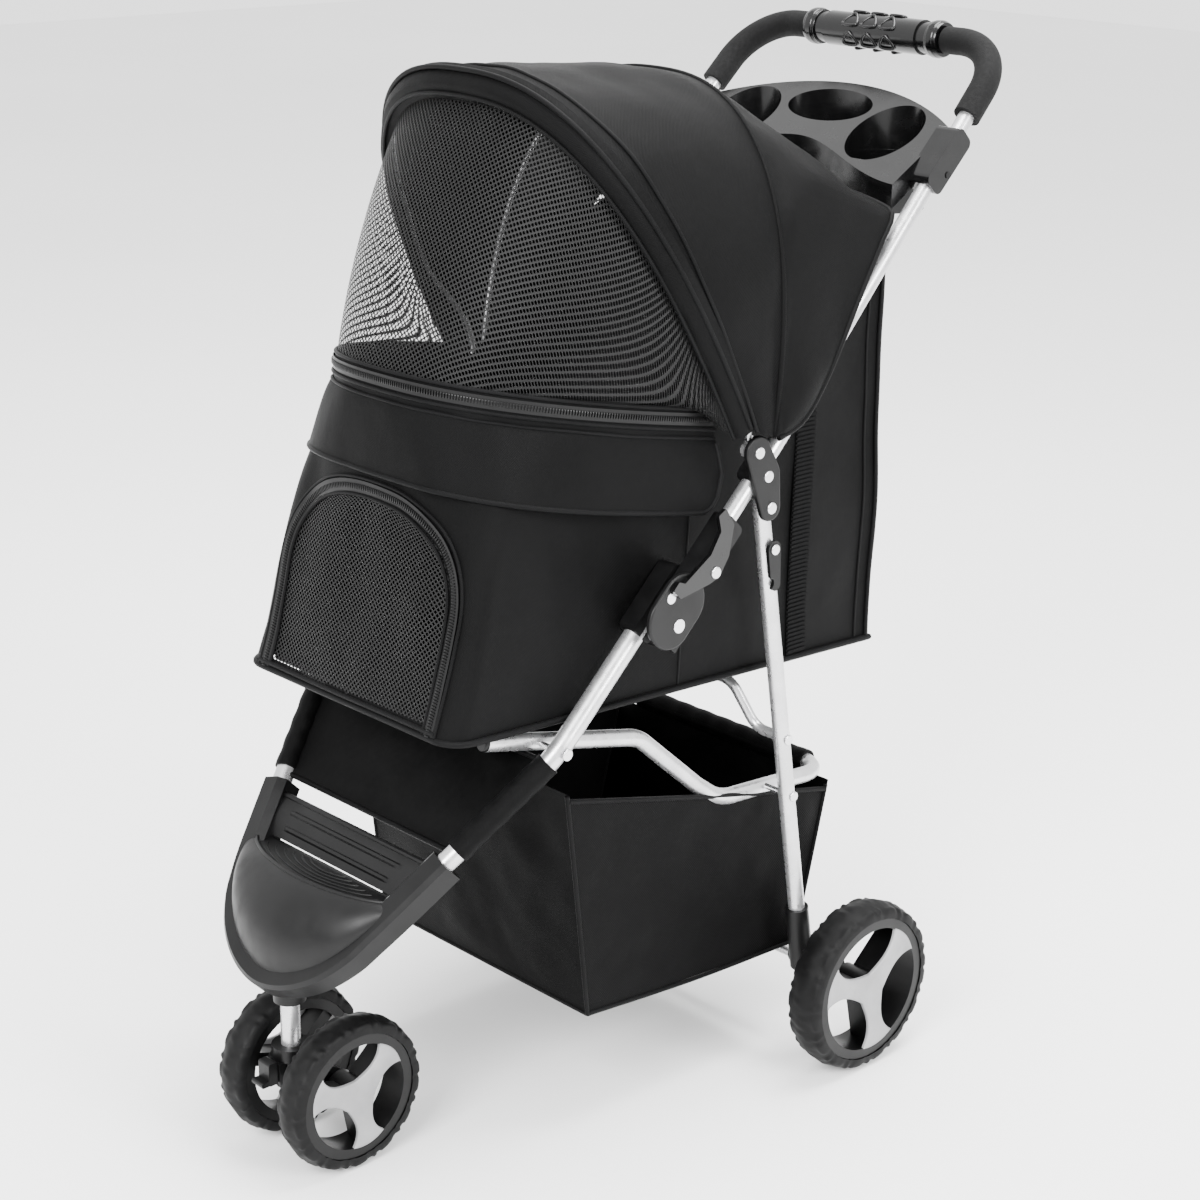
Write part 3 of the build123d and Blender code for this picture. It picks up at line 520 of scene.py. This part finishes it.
# ------------------------------------------------------------------ window
rim_top = rim(165, 245, 2.5, 0, 91)
window = Shape()
window_rows = between(window_top, rim_top, 40, sag=6)
window.grid(window_rows)
window.piece("front_window_mesh", "canopy_front", LOOKS["black_mesh"], "black_mesh", ["front_window"])

# ------------------------------------------------------------------ cabin
REAR_FACE = 75.0
side_count, front_count, back_count = 34, 150, 44


def ring(hinge_x, front_line, rear_x, height_of):
    """Closed line round the cabin: left side, front, right side, then the rear panel."""
    left = np.linspace((rear_x, REAR_FACE, 0), (hinge_x, RIM_HINGE[0], 0), side_count, endpoint=False)
    right = left[::-1] * (-1, 1, 1)
    rear = np.linspace((-rear_x, REAR_FACE, 0), (rear_x, REAR_FACE, 0), back_count)[1:-1]
    line = np.vstack([left, front_line, right, rear])
    line[:, 2] = [height_of(x, back) for x, back, _ in line]
    return line


def floor_height(x, back):
    return 431 - 19 * (back + 448) / 523


def top_height(x, back):
    if back < RIM_HINGE[0]:
        return RIM_HINGE[1] - 8 - (back - RIM_HINGE[0]) * math.tan(RIM_TILT)
    return float(np.interp(back, (-165, -140, -60, 10, REAR_FACE), (675, 705, 782, 815, 806)))


corner_r, front_edge = 24.0, -452.0
turns = np.linspace(0, math.pi / 2, 16)
low_front = [(150, -165, 0), (148, front_edge + corner_r, 0)]
low_front += [(148 - corner_r + corner_r * math.cos(t), front_edge + corner_r - corner_r * math.sin(t), 0)
              for t in turns[1:]]
low_front += [(0, front_edge, 0)]
low_front = even(both_sides(low_front), front_count)
high_front = even(rim(158, 235, 2.5, 8, 400), front_count)
bottom = ring(150, low_front, 152, floor_height)
top = ring(158, high_front, 152, top_height)
levels = np.linspace(0, 1, 64)
walls = []
for level in levels:
    row = bottom * (1 - level) + top * level
    row[:, 0] = bottom[:, 0] + (top[:, 0] - bottom[:, 0]) * level**2.4
    walls.append(row)
walls = np.array(walls)
walls = np.concatenate([walls, walls[:, :1]], 1)
walls = creased(walls, 4.0, 85, 2.2, (1, 1, 0.55), pin=(1, 0))
walls[:, -1] = walls[:, 0]

DOOR_HALF, DOOR_LOW, DOOR_SPRING, DOOR_RISE = 114.0, 441.0, 520.0, 94.0


def in_door(point, grow=0.0):
    x, back, height = point
    if back > -330:
        return False
    if height < DOOR_SPRING:
        return abs(x) < DOOR_HALF + grow and height > DOOR_LOW - grow
    return (abs(x) / (DOOR_HALF + grow)) ** 2.4 + ((height - DOOR_SPRING) / (DOOR_RISE + grow)) ** 2.4 < 1


cabin = Shape()
cabin.grid(walls, keep=lambda p: not in_door(p))
cabin = cabin.piece("cabin_cloth", "front_frame", LOOKS["black_nylon"], "black_nylon", ["cabin_walls"],
                    thick=1.2, soft=True)
solid = Shape()
solid.grid(walls)
skin = BVHTree.FromPolygons([Vector(p) for p in solid.points], solid.faces)


def on_front(x, height, out=0.0):
    """Point on the front wall, lifted off it by out."""
    hit = skin.ray_cast(Vector((x, -700, height)), Vector((0, 1, 0)))[0]
    return np.array([x, (hit.y if hit else -440) - out, height])


def on_side(side, back, height, out=0.0):
    hit = skin.ray_cast(Vector((side * 400, back, height)), Vector((-side, 0, 0)))[0]
    return np.array([(hit.x if hit else side * 151) + side * out, back, height])


door_rows = []
for height in np.linspace(DOOR_LOW - 8, DOOR_SPRING + DOOR_RISE, 34):
    if height <= DOOR_SPRING:
        half = DOOR_HALF + 2
    else:
        share = min(1.0, (height - DOOR_SPRING) / (DOOR_RISE + 1))
        half = (DOOR_HALF + 2) * max(0.0, 1 - share**2.4) ** (1 / 2.4)
    door_rows.append([on_front(x, height, 0.6) for x in np.linspace(-half, half, 41)])
door = Shape()
door.grid(door_rows)
door.piece("front_door_mesh", "front_frame", LOOKS["black_mesh"], "black_mesh", ["mesh_door"], soft=True)

door_edge = arch(DOOR_HALF + 4, 2.4, (0, DOOR_SPRING), (0, DOOR_SPRING + DOOR_RISE + 4), 70)
door_line = [(DOOR_HALF + 4, 0, DOOR_LOW - 8)] + door_edge.tolist() + [(-DOOR_HALF - 4, 0, DOOR_LOW - 8)]
door_line = even(door_line, 150)
zip_path = np.array([on_front(x, z, 1.6) for x, _, z in door_line])
door_zip = Shape()
door_zip.zip(zip_path, (0, -1, 0.05), tape=6.0)
door_zip.piece("front_door_zip", "front_frame", ZIP, "black_nylon", soft=True)
door_trim = Shape()
for grow in (-7, 8):
    edge = arch(DOOR_HALF + 4 + grow, 2.4, (0, DOOR_SPRING), (0, DOOR_SPRING + DOOR_RISE + 4 + grow), 70)
    foot_x = DOOR_HALF + 4 + grow
    line = [(foot_x, 0, DOOR_LOW - 8)] + edge.tolist() + [(-foot_x, 0, DOOR_LOW - 8)]
    door_trim.tube([on_front(x, z, 1.4) for x, _, z in even(line, 120)], 1.7)
sill_half = DOOR_HALF + 12
door_trim.tube([on_front(x, DOOR_LOW - 5, 1.6) for x in np.linspace(-sill_half, sill_half, 60)], 2.2)
door_trim.piece("front_door_piping", "front_frame", PIPING, "black_nylon", soft=True)

# hem round the bottom, seams and webbing on the sides, flap on the rear
hem = Shape()
hem_line = even(np.vstack([bottom, bottom[:1]]), 260)[:-1] * (1.012, 1, 1) + (0, 0, -1)
hem.tube(hem_line, 3.0, closed=True)
for side in (1, -1):
    hem.tube([on_side(side, -182 + 4 * math.sin(z / 40), z, 0.6) for z in np.linspace(424, 664, 50)], 1.2)
    hem.tube([on_side(side, 70, z, 1.4) for z in np.linspace(414, 800, 60)], 2.2)
    hem.tube([on_side(side, 54, z, 1.0) for z in np.linspace(416, 780, 60)], 1.3)
hem.piece("cabin_piping", "front_frame", PIPING, "black_nylon", soft=True)

webbing = Shape()
for side in (1, -1):
    path = [on_side(side, -30, z, 1.6) for z in np.linspace(419, 668, 60)]
    webbing.strip(path, 26, 1.4, (side, 0, 0))
    for z in np.arange(422, 666, 4.2):
        spot = on_side(side, -30, z, 2.7)
        webbing.block(spot, (0.9, 12.6, 1.2))
webbing.piece("side_webbing", "front_frame", WEBBING, "black_nylon", soft=True)

flap = Shape()
flap_rows = [[(x, REAR_FACE + 5 + 3 * math.cos(x / 60), z) for x in np.linspace(-146, 146, 60)]
             for z in np.linspace(420, 798, 50)]
flap.grid(creased(flap_rows, 3.0, 80, 9.1, (1, 1, 0.5)))
flap.piece("rear_flap", "front_frame", LOOKS["black_nylon"], "black_nylon", thick=1.2, soft=True)
flap_trim = Shape()
for x in (-146, 146):
    flap_trim.tube([(x, REAR_FACE + 3, z) for z in np.linspace(418, 800, 60)], 2.2)
for x in (-128, 128):
    flap_trim.zip([(x, REAR_FACE + 6.2, z) for z in np.linspace(430, 786, 90)], (0, 1, 0))
flap_trim.tube([(x, REAR_FACE + 6 + 2.5 * math.cos(x / 60), 421) for x in np.linspace(-146, 146, 60)], 2.4)
flap_trim.piece("rear_flap_trim", "front_frame", ZIP, "black_nylon", soft=True)

# ------------------------------------------------------------------ rim and skirt
rim_band = Shape()
band_rows = [rim(165, 245, 2.5, 0), rim(166.2, 246.5, 2.5, 5), rim(167, 247.5, 2.5, 11),
             rim(167.5, 248, 2.5, 18), rim(167.5, 248, 2.5, 30)]
rim_band.grid(band_rows)
rim_band.piece("rim_band", "front_frame", LOOKS["black_nylon"], "black_nylon", thick=1.2, soft=True)


def outward(line):
    """Level directions pointing out of a rim line."""
    t = np.gradient(line, axis=0)
    out = np.stack([-t[:, 1], t[:, 0], np.zeros(len(line))], 1)
    out /= np.linalg.norm(out, axis=1, keepdims=True)
    return out if out[0][0] > 0 else -out


rim_zip = Shape()
zip_line = rim(168.0, 249.0, 2.5, 10, 160)
rim_zip.zip(zip_line, outward(zip_line), tape=5.5)
rim_zip.piece("rim_zip", "front_frame", ZIP, "black_nylon", soft=True)
rim_trim = Shape()
for drop, grow in ((1, 1.5), (19, 4.0)):
    rim_trim.tube(rim(165 + grow, 245 + grow, 2.5, drop, 140), 1.8)
rim_trim.piece("rim_piping", "front_frame", PIPING, "black_nylon", soft=True)

skirt_rows = []
ends = np.linspace(0, 1, 141)
corner = np.clip(np.minimum(ends, 1 - ends) / 0.035, 0, 1)
reach = 0.45 + 0.55 * np.sqrt(1 - (1 - corner) ** 2)
for level in np.linspace(0, 1, 16):
    grow = 3 + 11 * level**0.7
    high = rim(165 + grow, 245 + grow, 2.5 + 0.7 * level, 27, 141)
    skirt_rows.append(high - np.array([0, 0, 1]) * (66 * level * reach)[:, None])
skirt_rows = creased(skirt_rows, 2.8, 75, 4.4, (1, 1, 0.4), pin=(0, 1))
skirt = Shape()
skirt.grid(skirt_rows)
skirt.piece("rim_skirt_flap", "front_frame", LOOKS["black_nylon"], "black_nylon", ["rim_skirt"],
            thick=1.4, soft=True)
skirt_trim = Shape()
skirt_trim.tube(np.vstack([skirt_rows[2:-1, 0], skirt_rows[-1], skirt_rows[-2:1:-1, -1]]), 2.3)
skirt_trim.tube(skirt_rows[0] + outward(skirt_rows[0]) * 0.8, 1.6)
skirt_trim.piece("rim_skirt_piping", "front_frame", PIPING, "black_nylon", soft=True)

# ------------------------------------------------------------------ nose
def along_front(height, off=0.0, inward=0.0):
    """Point beside the left front tube: off the tube plane, and inward across it."""
    x, back, z = front_tube(height)
    return np.array([x - inward, back - off / math.sqrt(2), z + off / math.sqrt(2)])


lip_line = smooth_line(both_sides([(103, -474, 277), (86, -490, 277.5), (50, -504, 278), (0, -510, 278)]), 61)
arm_line = [front_tube(z).tolist() for z in (310, 300, 288, 276, 262)]
arm_line += [(90, -499, 247), (80, -514, 230), (60, -530, 211), (32, -541, 197), (0, -545, 191)]
arm_line = smooth_line(both_sides(arm_line), 141)

# bucket: bulges forward from the lip down to the rim that the arms make under it
seat = even([p for p in arm_line if p[2] < 276], 61)
out_from = lip_line - (0, -450, 278)
out_from /= np.linalg.norm(out_from, axis=1, keepdims=True)
fade = np.sin(np.linspace(0, math.pi, 61))[:, None] ** 0.5
bucket = []
for share in np.linspace(0, 1, 30):
    swell = 21 * math.sin(math.pi * share**0.8) ** 0.8
    bucket.append(lip_line * (1 - share) + seat * share + out_from * fade * swell)
nose = Shape()
nose.grid(bucket)
# foot plate inside the lip, with ridges that echo its outline
back_edge = lip_line * (0.97, 0, 0) + (0, -469, 275.5)
deck = []
for share in np.linspace(0, 1, 16):
    row = lip_line * (1 - share) + back_edge * share
    row[:, 2] = 276.0 - 1.6 * min(1, share * 10)
    deck.append(row)
nose.grid(deck)
nose.piece("nose_bucket", "front_frame", LOOKS["moulded_black"], "moulded_black",
           ["nose_shell", "footrest_plate"], thick=1.6)
nose_lines = Shape()
nose_lines.tube(lip_line + (0, 0, 0.4), 2.0)
for size in (0.86, 0.74, 0.62, 0.50, 0.38, 0.27):
    ridge = (lip_line - (0, -470, 278)) * size + (0, -470, 275.4)
    nose_lines.tube(ridge[3:-3], 1.0, 8)
nose_lines.piece("nose_ridges", "front_frame", LOOKS["moulded_black"], "moulded_black")
# arms: squared channels that sleeve the tubes and meet under the bucket
arm_ring = [(-14, -12), (-14, 8), (-10, 12), (6, 13), (13, 7), (13.5, -12), (9, -15), (-10, -15)]
arms = Shape()
arms.sweep(arm_line, arm_ring, up=(0, -0.7071, 0.7071),
           scale=1.02 - 0.20 * np.sin(np.linspace(0, math.pi, 141)) ** 3)
arms.piece("nose_arms", "front_frame", LOOKS["moulded_black"], "moulded_black", angle=28)
# step between the arms
step = Shape()
rows = []
for k, height in enumerate(np.linspace(277, 304, 26)):
    left = along_front(height, 1 + 3 * math.sin(math.pi * k / 25), 8)
    row = np.linspace(left, left * (-1, 1, 1), 60)
    if k in (6, 7, 16, 17):
        row[8:52, 1] -= 1.2
        row[8:52, 2] += 1.2
    rows.append(row)
step.grid(rows)
step.tube(rows[-1], 2.0)
step.piece("nose_step", "front_frame", LOOKS["moulded_black"], "moulded_black", thick=2.4, angle=30)
stem_collar = Shape()
stem_collar.tube([(0, -520, z) for z in (190, 172, 160)], 15, 28)
stem_collar.piece("stem_collar", "front_frame", LOOKS["moulded_black"], "moulded_black")

# ------------------------------------------------------------------ sling between the front tubes
sling = Shape()
sling_rows = []
for height in np.linspace(318, 395, 26):
    left = front_tube(height) - (9.0, 0, 0)
    row = np.linspace(left, left * (-1, 1, 1), 50)
    dip = np.sin(np.linspace(0, math.pi, 50)) * 5
    row += np.stack([np.zeros(50), dip * 0.7, -dip * 0.7], 1)
    sling_rows.append(row)
sling.grid(creased(sling_rows, 2.4, 60, 6.3))
sling.piece("sling_cloth", "front_frame", LOOKS["black_nylon"], "black_nylon", ["sling_panel"],
            thick=1.2)
sleeves = Shape()
for side in (1, -1):
    run = np.array([front_tube(z) * (side, 1, 1) for z in np.linspace(320, 394, 30)])
    swell = 1 + 0.03 * np.sin(np.arange(30) * 1.1)
    sleeves.tube(run, 11.6, 20, scale=swell)
for height in (318, 394):
    left = front_tube(height) - (8.0, 0, 0)
    sleeves.tube(np.linspace(left, left * (-1, 1, 1), 40), 2.6)
sleeves.piece("sling_sleeves", "front_frame", LOOKS["black_nylon"], "black_nylon")

# ------------------------------------------------------------------ basket
B_HALF = 149.0
foot_front, foot_rear = (-292, 124), (-12, 108)
head_front, head_rear = (-320, 352), (30, 270)


def basket_sheet(a, b, c, d, counts, seed, sag):
    """Panel between four corners, bellied out by sag and creased."""
    a, b, c, d = (np.array(p, float) for p in (a, b, c, d))
    u = np.linspace(0, 1, counts[0])[:, None, None]
    v = np.linspace(0, 1, counts[1])[None, :, None]
    rows = (a * (1 - u) + b * u) * (1 - v) + (d * (1 - u) + c * u) * v
    rows = rows + normals_of(rows) * (16 * u * (1 - u) * v * (1 - v) * sag)
    return creased(rows, 3.0, 60, seed)


def sides(point, x):
    return (x, point[0], point[1])


basket = Shape()
basket_panels = []
for start, end, rows, seed, sag in (
    (head_front, foot_front, 34, 1.5, -7),
    (foot_front, foot_rear, 34, 2.5, -5),
    (foot_rear, head_rear, 30, 3.5, -5),
):
    basket_panels.append(basket_sheet(sides(start, -B_HALF), sides(end, -B_HALF), sides(end, B_HALF),
                                      sides(start, B_HALF), (rows, 40), seed, sag))
    basket.grid(basket_panels[-1])
basket.piece("basket_cloth", "basket_rail", LOOKS["basket_fabric"], "basket_fabric", ["storage_basket"],
             thick=1.2)
net = Shape()
net_panels = []
net_look = fabric_look("basket_net", 0.0010, 0.0026, 0.0028, 0.006, 0.6)
for side in (1, -1):
    x = side * B_HALF
    net_panels.append(basket_sheet((x, -318, 344), (x, -292, 124), (x, -12, 108), (x, 24, 262),
                                   (34, 44), 4.5 + side, side * 5))
    net.grid(net_panels[-1])
net.piece("basket_side_net", "basket_rail", net_look, "basket_fabric", thick=1.0)
basket_trim = Shape()
for side in (1, -1):
    x = side * (B_HALF + 0.6)
    basket_trim.tube(smooth_line([(x, -320, 350), (x, -306, 240), (x, -292, 124)], 60), 2.2)
    basket_trim.tube(smooth_line([(x, -292, 124), (x, -150, 113), (x, -12, 108)], 60), 2.2)
    basket_trim.tube(smooth_line([(x, -12, 108), (x, 8, 190), (x, 26, 266)], 50), 2.2)
    basket_trim.tube(smooth_line([(x, -318, 344), (x, -150, 302), (x, 24, 262)], 60), 2.6)
for back, height in (foot_front, foot_rear):
    basket_trim.tube(np.linspace((-B_HALF, back, height), (B_HALF, back, height), 40), 2.2)
basket_trim.piece("basket_piping", "basket_rail", PIPING, "basket_fabric")
wrap = Shape()
gather = 1 + 0.03 * np.sin(np.arange(60) * 0.9)
wrap.tube(np.linspace((-118, 32, 280), (118, 32, 280), 60), 11.0, 20, scale=gather)
wrap.piece("basket_rail_wrap", "basket_rail", LOOKS["basket_fabric"], "basket_fabric")

# ------------------------------------------------------------------ handle details
GRIP = np.array([0, 224.4, 971.0])
grip_bits = Shape()
for x in (-79, 79):
    for radius, half in ((18.2, 5.0), (17.6, 7.5)):
        ring = [(x + t * half, GRIP[1], GRIP[2]) for t in np.linspace(-1, 1, 9)]
        grip_bits.tube(ring, radius, 36, scale=[0.93, 0.985, 1, 1, 1, 1, 1, 0.985, 0.93])
grip_bits.piece("grip_collars", "handle_frame", LOOKS["gloss_black"], "gloss_black", angle=35)
frets = Shape()
DIAGONAL = 0.7071                # the handle lies in a plane at 45 degrees
for turn in (0.0, 1.2, -1.2, 2.6):
    look_out = DIAGONAL * np.array([0, -math.cos(turn) - math.sin(turn), math.cos(turn) - math.sin(turn)])
    across = np.cross(look_out, (1, 0, 0))
    for middle in (-24, 0, 24):
        corners = [GRIP + (middle + dx, 0, 0) + across * dy + look_out * 16.6
                   for dx, dy in ((-9, -6), (9, -6), (0, 7))]
        frets.tube(smooth_line(corners, 36, closed=True), 1.6, 8, closed=True)
frets.piece("grip_frets", "handle_frame", LOOKS["gloss_black"], "gloss_black")
screws = Shape()
for side in (1, -1):
    for spot, out in (
        ((180.8 * side, 866 - TUBE_RISE + 4, 862), (side, 0, 0)),
        ((79 * side, GRIP[1] - 12, GRIP[2] + 12), (0, -DIAGONAL, DIAGONAL)),
    ):
        screws.tube([np.array(spot), np.array(spot) + np.array(out) * 1.2], 3.2, 16)
screws.piece("screws", "handle_frame", LOOKS["moulded_black"], "moulded_black")

# ------------------------------------------------------------------ wheels
SPOKE_START = 42.0


def wheel(name, x, centre, radius, width, side):
    """Tyre with moulded shoulder lugs, and the three-armed trim cover."""
    body = name + "_wheel"
    rim_r = radius - 13.5
    around, across = 240, 25
    lugs = round(radius * 0.36)
    rows = []
    for turn in np.linspace(0, 2 * math.pi, around, endpoint=False):
        row = []
        for k in range(across):
            a = -math.pi / 2 - 0.55 + (math.pi + 1.1) * k / (across - 1)
            lateral = math.sin(a)
            depth = math.cos(a)
            y = (width / 2) * (1 if lateral >= 0 else -1) * abs(lateral) ** 0.8
            r = rim_r + (radius - 2.0 - rim_r) * (1 if depth >= 0 else -1) * abs(depth) ** 0.62
            r = max(r, rim_r)
            shoulder = math.exp(-((abs(lateral) - 0.78) / 0.2) ** 2)
            hand = 1 if lateral > 0 else -1
            wave = math.sin(lugs * turn + 1.6 * math.sin(2.4 * abs(lateral) + lugs * turn / 2) * hand)
            lug = 1 / (1 + math.exp(-6 * (wave - 0.15)))
            crown = math.exp(-(lateral / 0.34) ** 2)
            r += 2.0 * crown * (0.55 + 0.45 * lug) + 1.5 * shoulder * lug
            y += hand * 0.9 * shoulder * lug * min(1, abs(lateral) * 2)
            row.append((x + y, centre[0] + r * math.cos(turn), centre[1] + r * math.sin(turn)))
        bead = centre[0] + rim_r * math.cos(turn), centre[1] + rim_r * math.sin(turn)
        row.append((x + width / 2 - 4, *bead))
        rows.append(row)
    rows.append(rows[0])
    tyre = Shape()
    tyre.grid(np.array(rows), closed=True)
    tyre.piece(name + "_tyre_tread", body, LOOKS["tyre_rubber"], "tyre_rubber", [name + "_tyre"], angle=60)

    tip = radius - 25.5
    hub = 8.5
    arm = []
    for share in np.linspace(0, 1, 26):
        reach_here = hub + (tip - hub) * share
        half = 15.0 * (1 - share) ** 2 + 15.48 * share * (1 - share) + 21.0 * share**3.2 * radius / 86
        arm.append((reach_here, half))
    outline = []
    for k in range(3):
        axis = math.radians(SPOKE_START + 120 * k)
        local = [(r, -h) for r, h in arm]
        end_half = arm[-1][1]
        local += [(tip + 4.5 * (1 - (h / end_half) ** 2), h)
                  for h in np.linspace(-end_half, end_half, 9)[1:-1]]
        local += [(r, h) for r, h in reversed(arm)]
        for r, h in local:
            outline.append((r * math.cos(axis) - h * math.sin(axis), r * math.sin(axis) + h * math.cos(axis)))
    outline = np.array(outline)
    edge = np.roll(outline, -1, 0) - np.roll(outline, 1, 0)
    inward = np.stack([-edge[:, 1], edge[:, 0]], 1)
    inward /= np.maximum(np.linalg.norm(inward, axis=1, keepdims=True), 1e-9)
    cover = Shape()
    base_x = x + side * (width / 2 - 3.8)
    layers = ((0.0, 0.0), (2.2, 0.0), (3.0, 0.5), (3.4, 1.4))
    grid = []
    for lift, shrink in layers:
        flat = outline + inward * shrink
        grid.append([(base_x + side * lift, centre[0] + p[0], centre[1] + p[1]) for p in flat])
    first = cover.grid(np.array(grid), closed=True)
    count = len(outline)
    cover.cap(range(first + (len(layers) - 1) * count, first + len(layers) * count))
    cover.cap(range(first + count - 1, first - 1, -1))
    cover.piece(name + "_trim_cover", body, LOOKS["wheel_silver"], "wheel_silver", [name + "_cover"],
                angle=35)


for name, x, centre, radius, width in (
    ("rear_left", 226, (0, 86), 86, 38), ("rear_right", -226, (0, 86), 86, 38),
    ("front_left", 45, (-489, 74), 74, 32), ("front_right", -45, (-489, 74), 74, 32),
):
    wheel(name, x, centre, radius, width, 1 if x > 0 else -1)

# ------------------------------------------------------------------ the cloth as it was cut
def area_of(rows):
    rows = np.asarray(rows, float) / 1000
    across, along = np.diff(rows, axis=1)[:-1], np.diff(rows, axis=0)[:, :-1]
    return float(np.linalg.norm(np.cross(across, along), axis=2).sum())


def cut(name, rests_on, *grids, hole=0.0):
    """Flat width and length of a stretched sheet's grids, sewn end to end; the sizes are worked out and not
    kept.
    """
    width = length = 0.0
    for rows in grids:
        rows = np.asarray(rows, float) / 1000
        width = max(width, np.linalg.norm(np.diff(rows, axis=1), axis=2).sum(1).max())
        length += np.linalg.norm(np.diff(rows, axis=0), axis=2).sum(0).max()


cut("canopy_front_cloth", ["front_hoop", "mid_hoop"], front_panel)
cut("canopy_rear_cloth", ["mid_hoop", "cabin_cloth"], rear_panel)
cut("canopy_brim", ["front_hoop"], brim_rows)
cut("front_window_mesh", ["front_hoop", "rim_band"], window_rows)
cut("cabin_cloth", ["floor_board", "pivot_bracket_left", "pivot_bracket_right"], walls,
    hole=area_of(door_rows))
cut("front_door_mesh", ["cabin_cloth"], door_rows)
cut("rear_flap", ["cabin_cloth"], flap_rows)
cut("rim_band", ["cabin_cloth"], band_rows)
cut("rim_skirt_flap", ["rim_band"], skirt_rows)
cut("sling_cloth", ["front_tube_left", "front_tube_right"], sling_rows)
cut("basket_cloth", ["basket_rail"], *basket_panels)
cut("basket_side_net", ["basket_rail"], *net_panels)

# ------------------------------------------------------------------ stage, light and camera
def floor_look():
    look = Look("floor", Roughness=0.9)
    look.colour(look.noise(0.6), (0.86, 0.86, 0.86), (0.90, 0.90, 0.90))
    return look.material


ground = bpy.data.meshes.new("ground")
ground.from_pydata([(-9, -9, 0), (9, -9, 0), (9, 9, 0), (-9, 9, 0)], [], [(0, 1, 2, 3)])
ground.materials.append(floor_look())
floor = bpy.data.objects.new("ground", ground)
bpy.context.scene.collection.objects.link(floor)

world = bpy.data.worlds.new("studio")
bpy.context.scene.world = world
world.use_nodes = True
world.node_tree.nodes["Background"].inputs[0].default_value = (1, 1, 1, 1)
world.node_tree.nodes["Background"].inputs[1].default_value = 2.2


def lamp(name, spot, target, size, power):
    light = bpy.data.lights.new(name, "AREA")
    light.shape, light.size, light.energy = "SQUARE", size, power
    obj = bpy.data.objects.new(name, light)
    obj.location = spot
    obj.rotation_euler = (Vector(target) - Vector(spot)).to_track_quat("-Z", "Y").to_euler()
    bpy.context.scene.collection.objects.link(obj)


lamp("key", (1.2, -3.0, 2.6), (0, 0, 0.5), 1.6, 260)
lamp("side", (3.2, 0.3, 1.9), (0, 0, 0.5), 1.4, 160)
lamp("top", (0.2, 0.6, 3.4), (0, 0, 0.6), 2.0, 260)

CAMERA_SPOT = (1.67269, -1.54740, 1.22797)
AZIMUTH, ELEVATION, ROLL = math.radians(46.89), math.radians(18.59), math.radians(0.76)
camera_data = bpy.data.cameras.new("camera")
camera_data.sensor_width = 36.0
camera_data.angle = math.radians(26.876)
camera = bpy.data.objects.new("camera", camera_data)
backward = Vector((math.sin(AZIMUTH) * math.cos(ELEVATION), -math.cos(AZIMUTH) * math.cos(ELEVATION),
                   math.sin(ELEVATION)))
right = Vector((math.cos(AZIMUTH), math.sin(AZIMUTH), 0))
upward = backward.cross(right)
rolled_right = right * math.cos(ROLL) + upward * math.sin(ROLL)
rolled_up = upward * math.cos(ROLL) - right * math.sin(ROLL)
turned = Matrix((rolled_right, rolled_up, backward)).transposed().to_4x4()
camera.matrix_world = Matrix.Translation(CAMERA_SPOT) @ turned
bpy.context.scene.collection.objects.link(camera)
bpy.context.scene.camera = camera
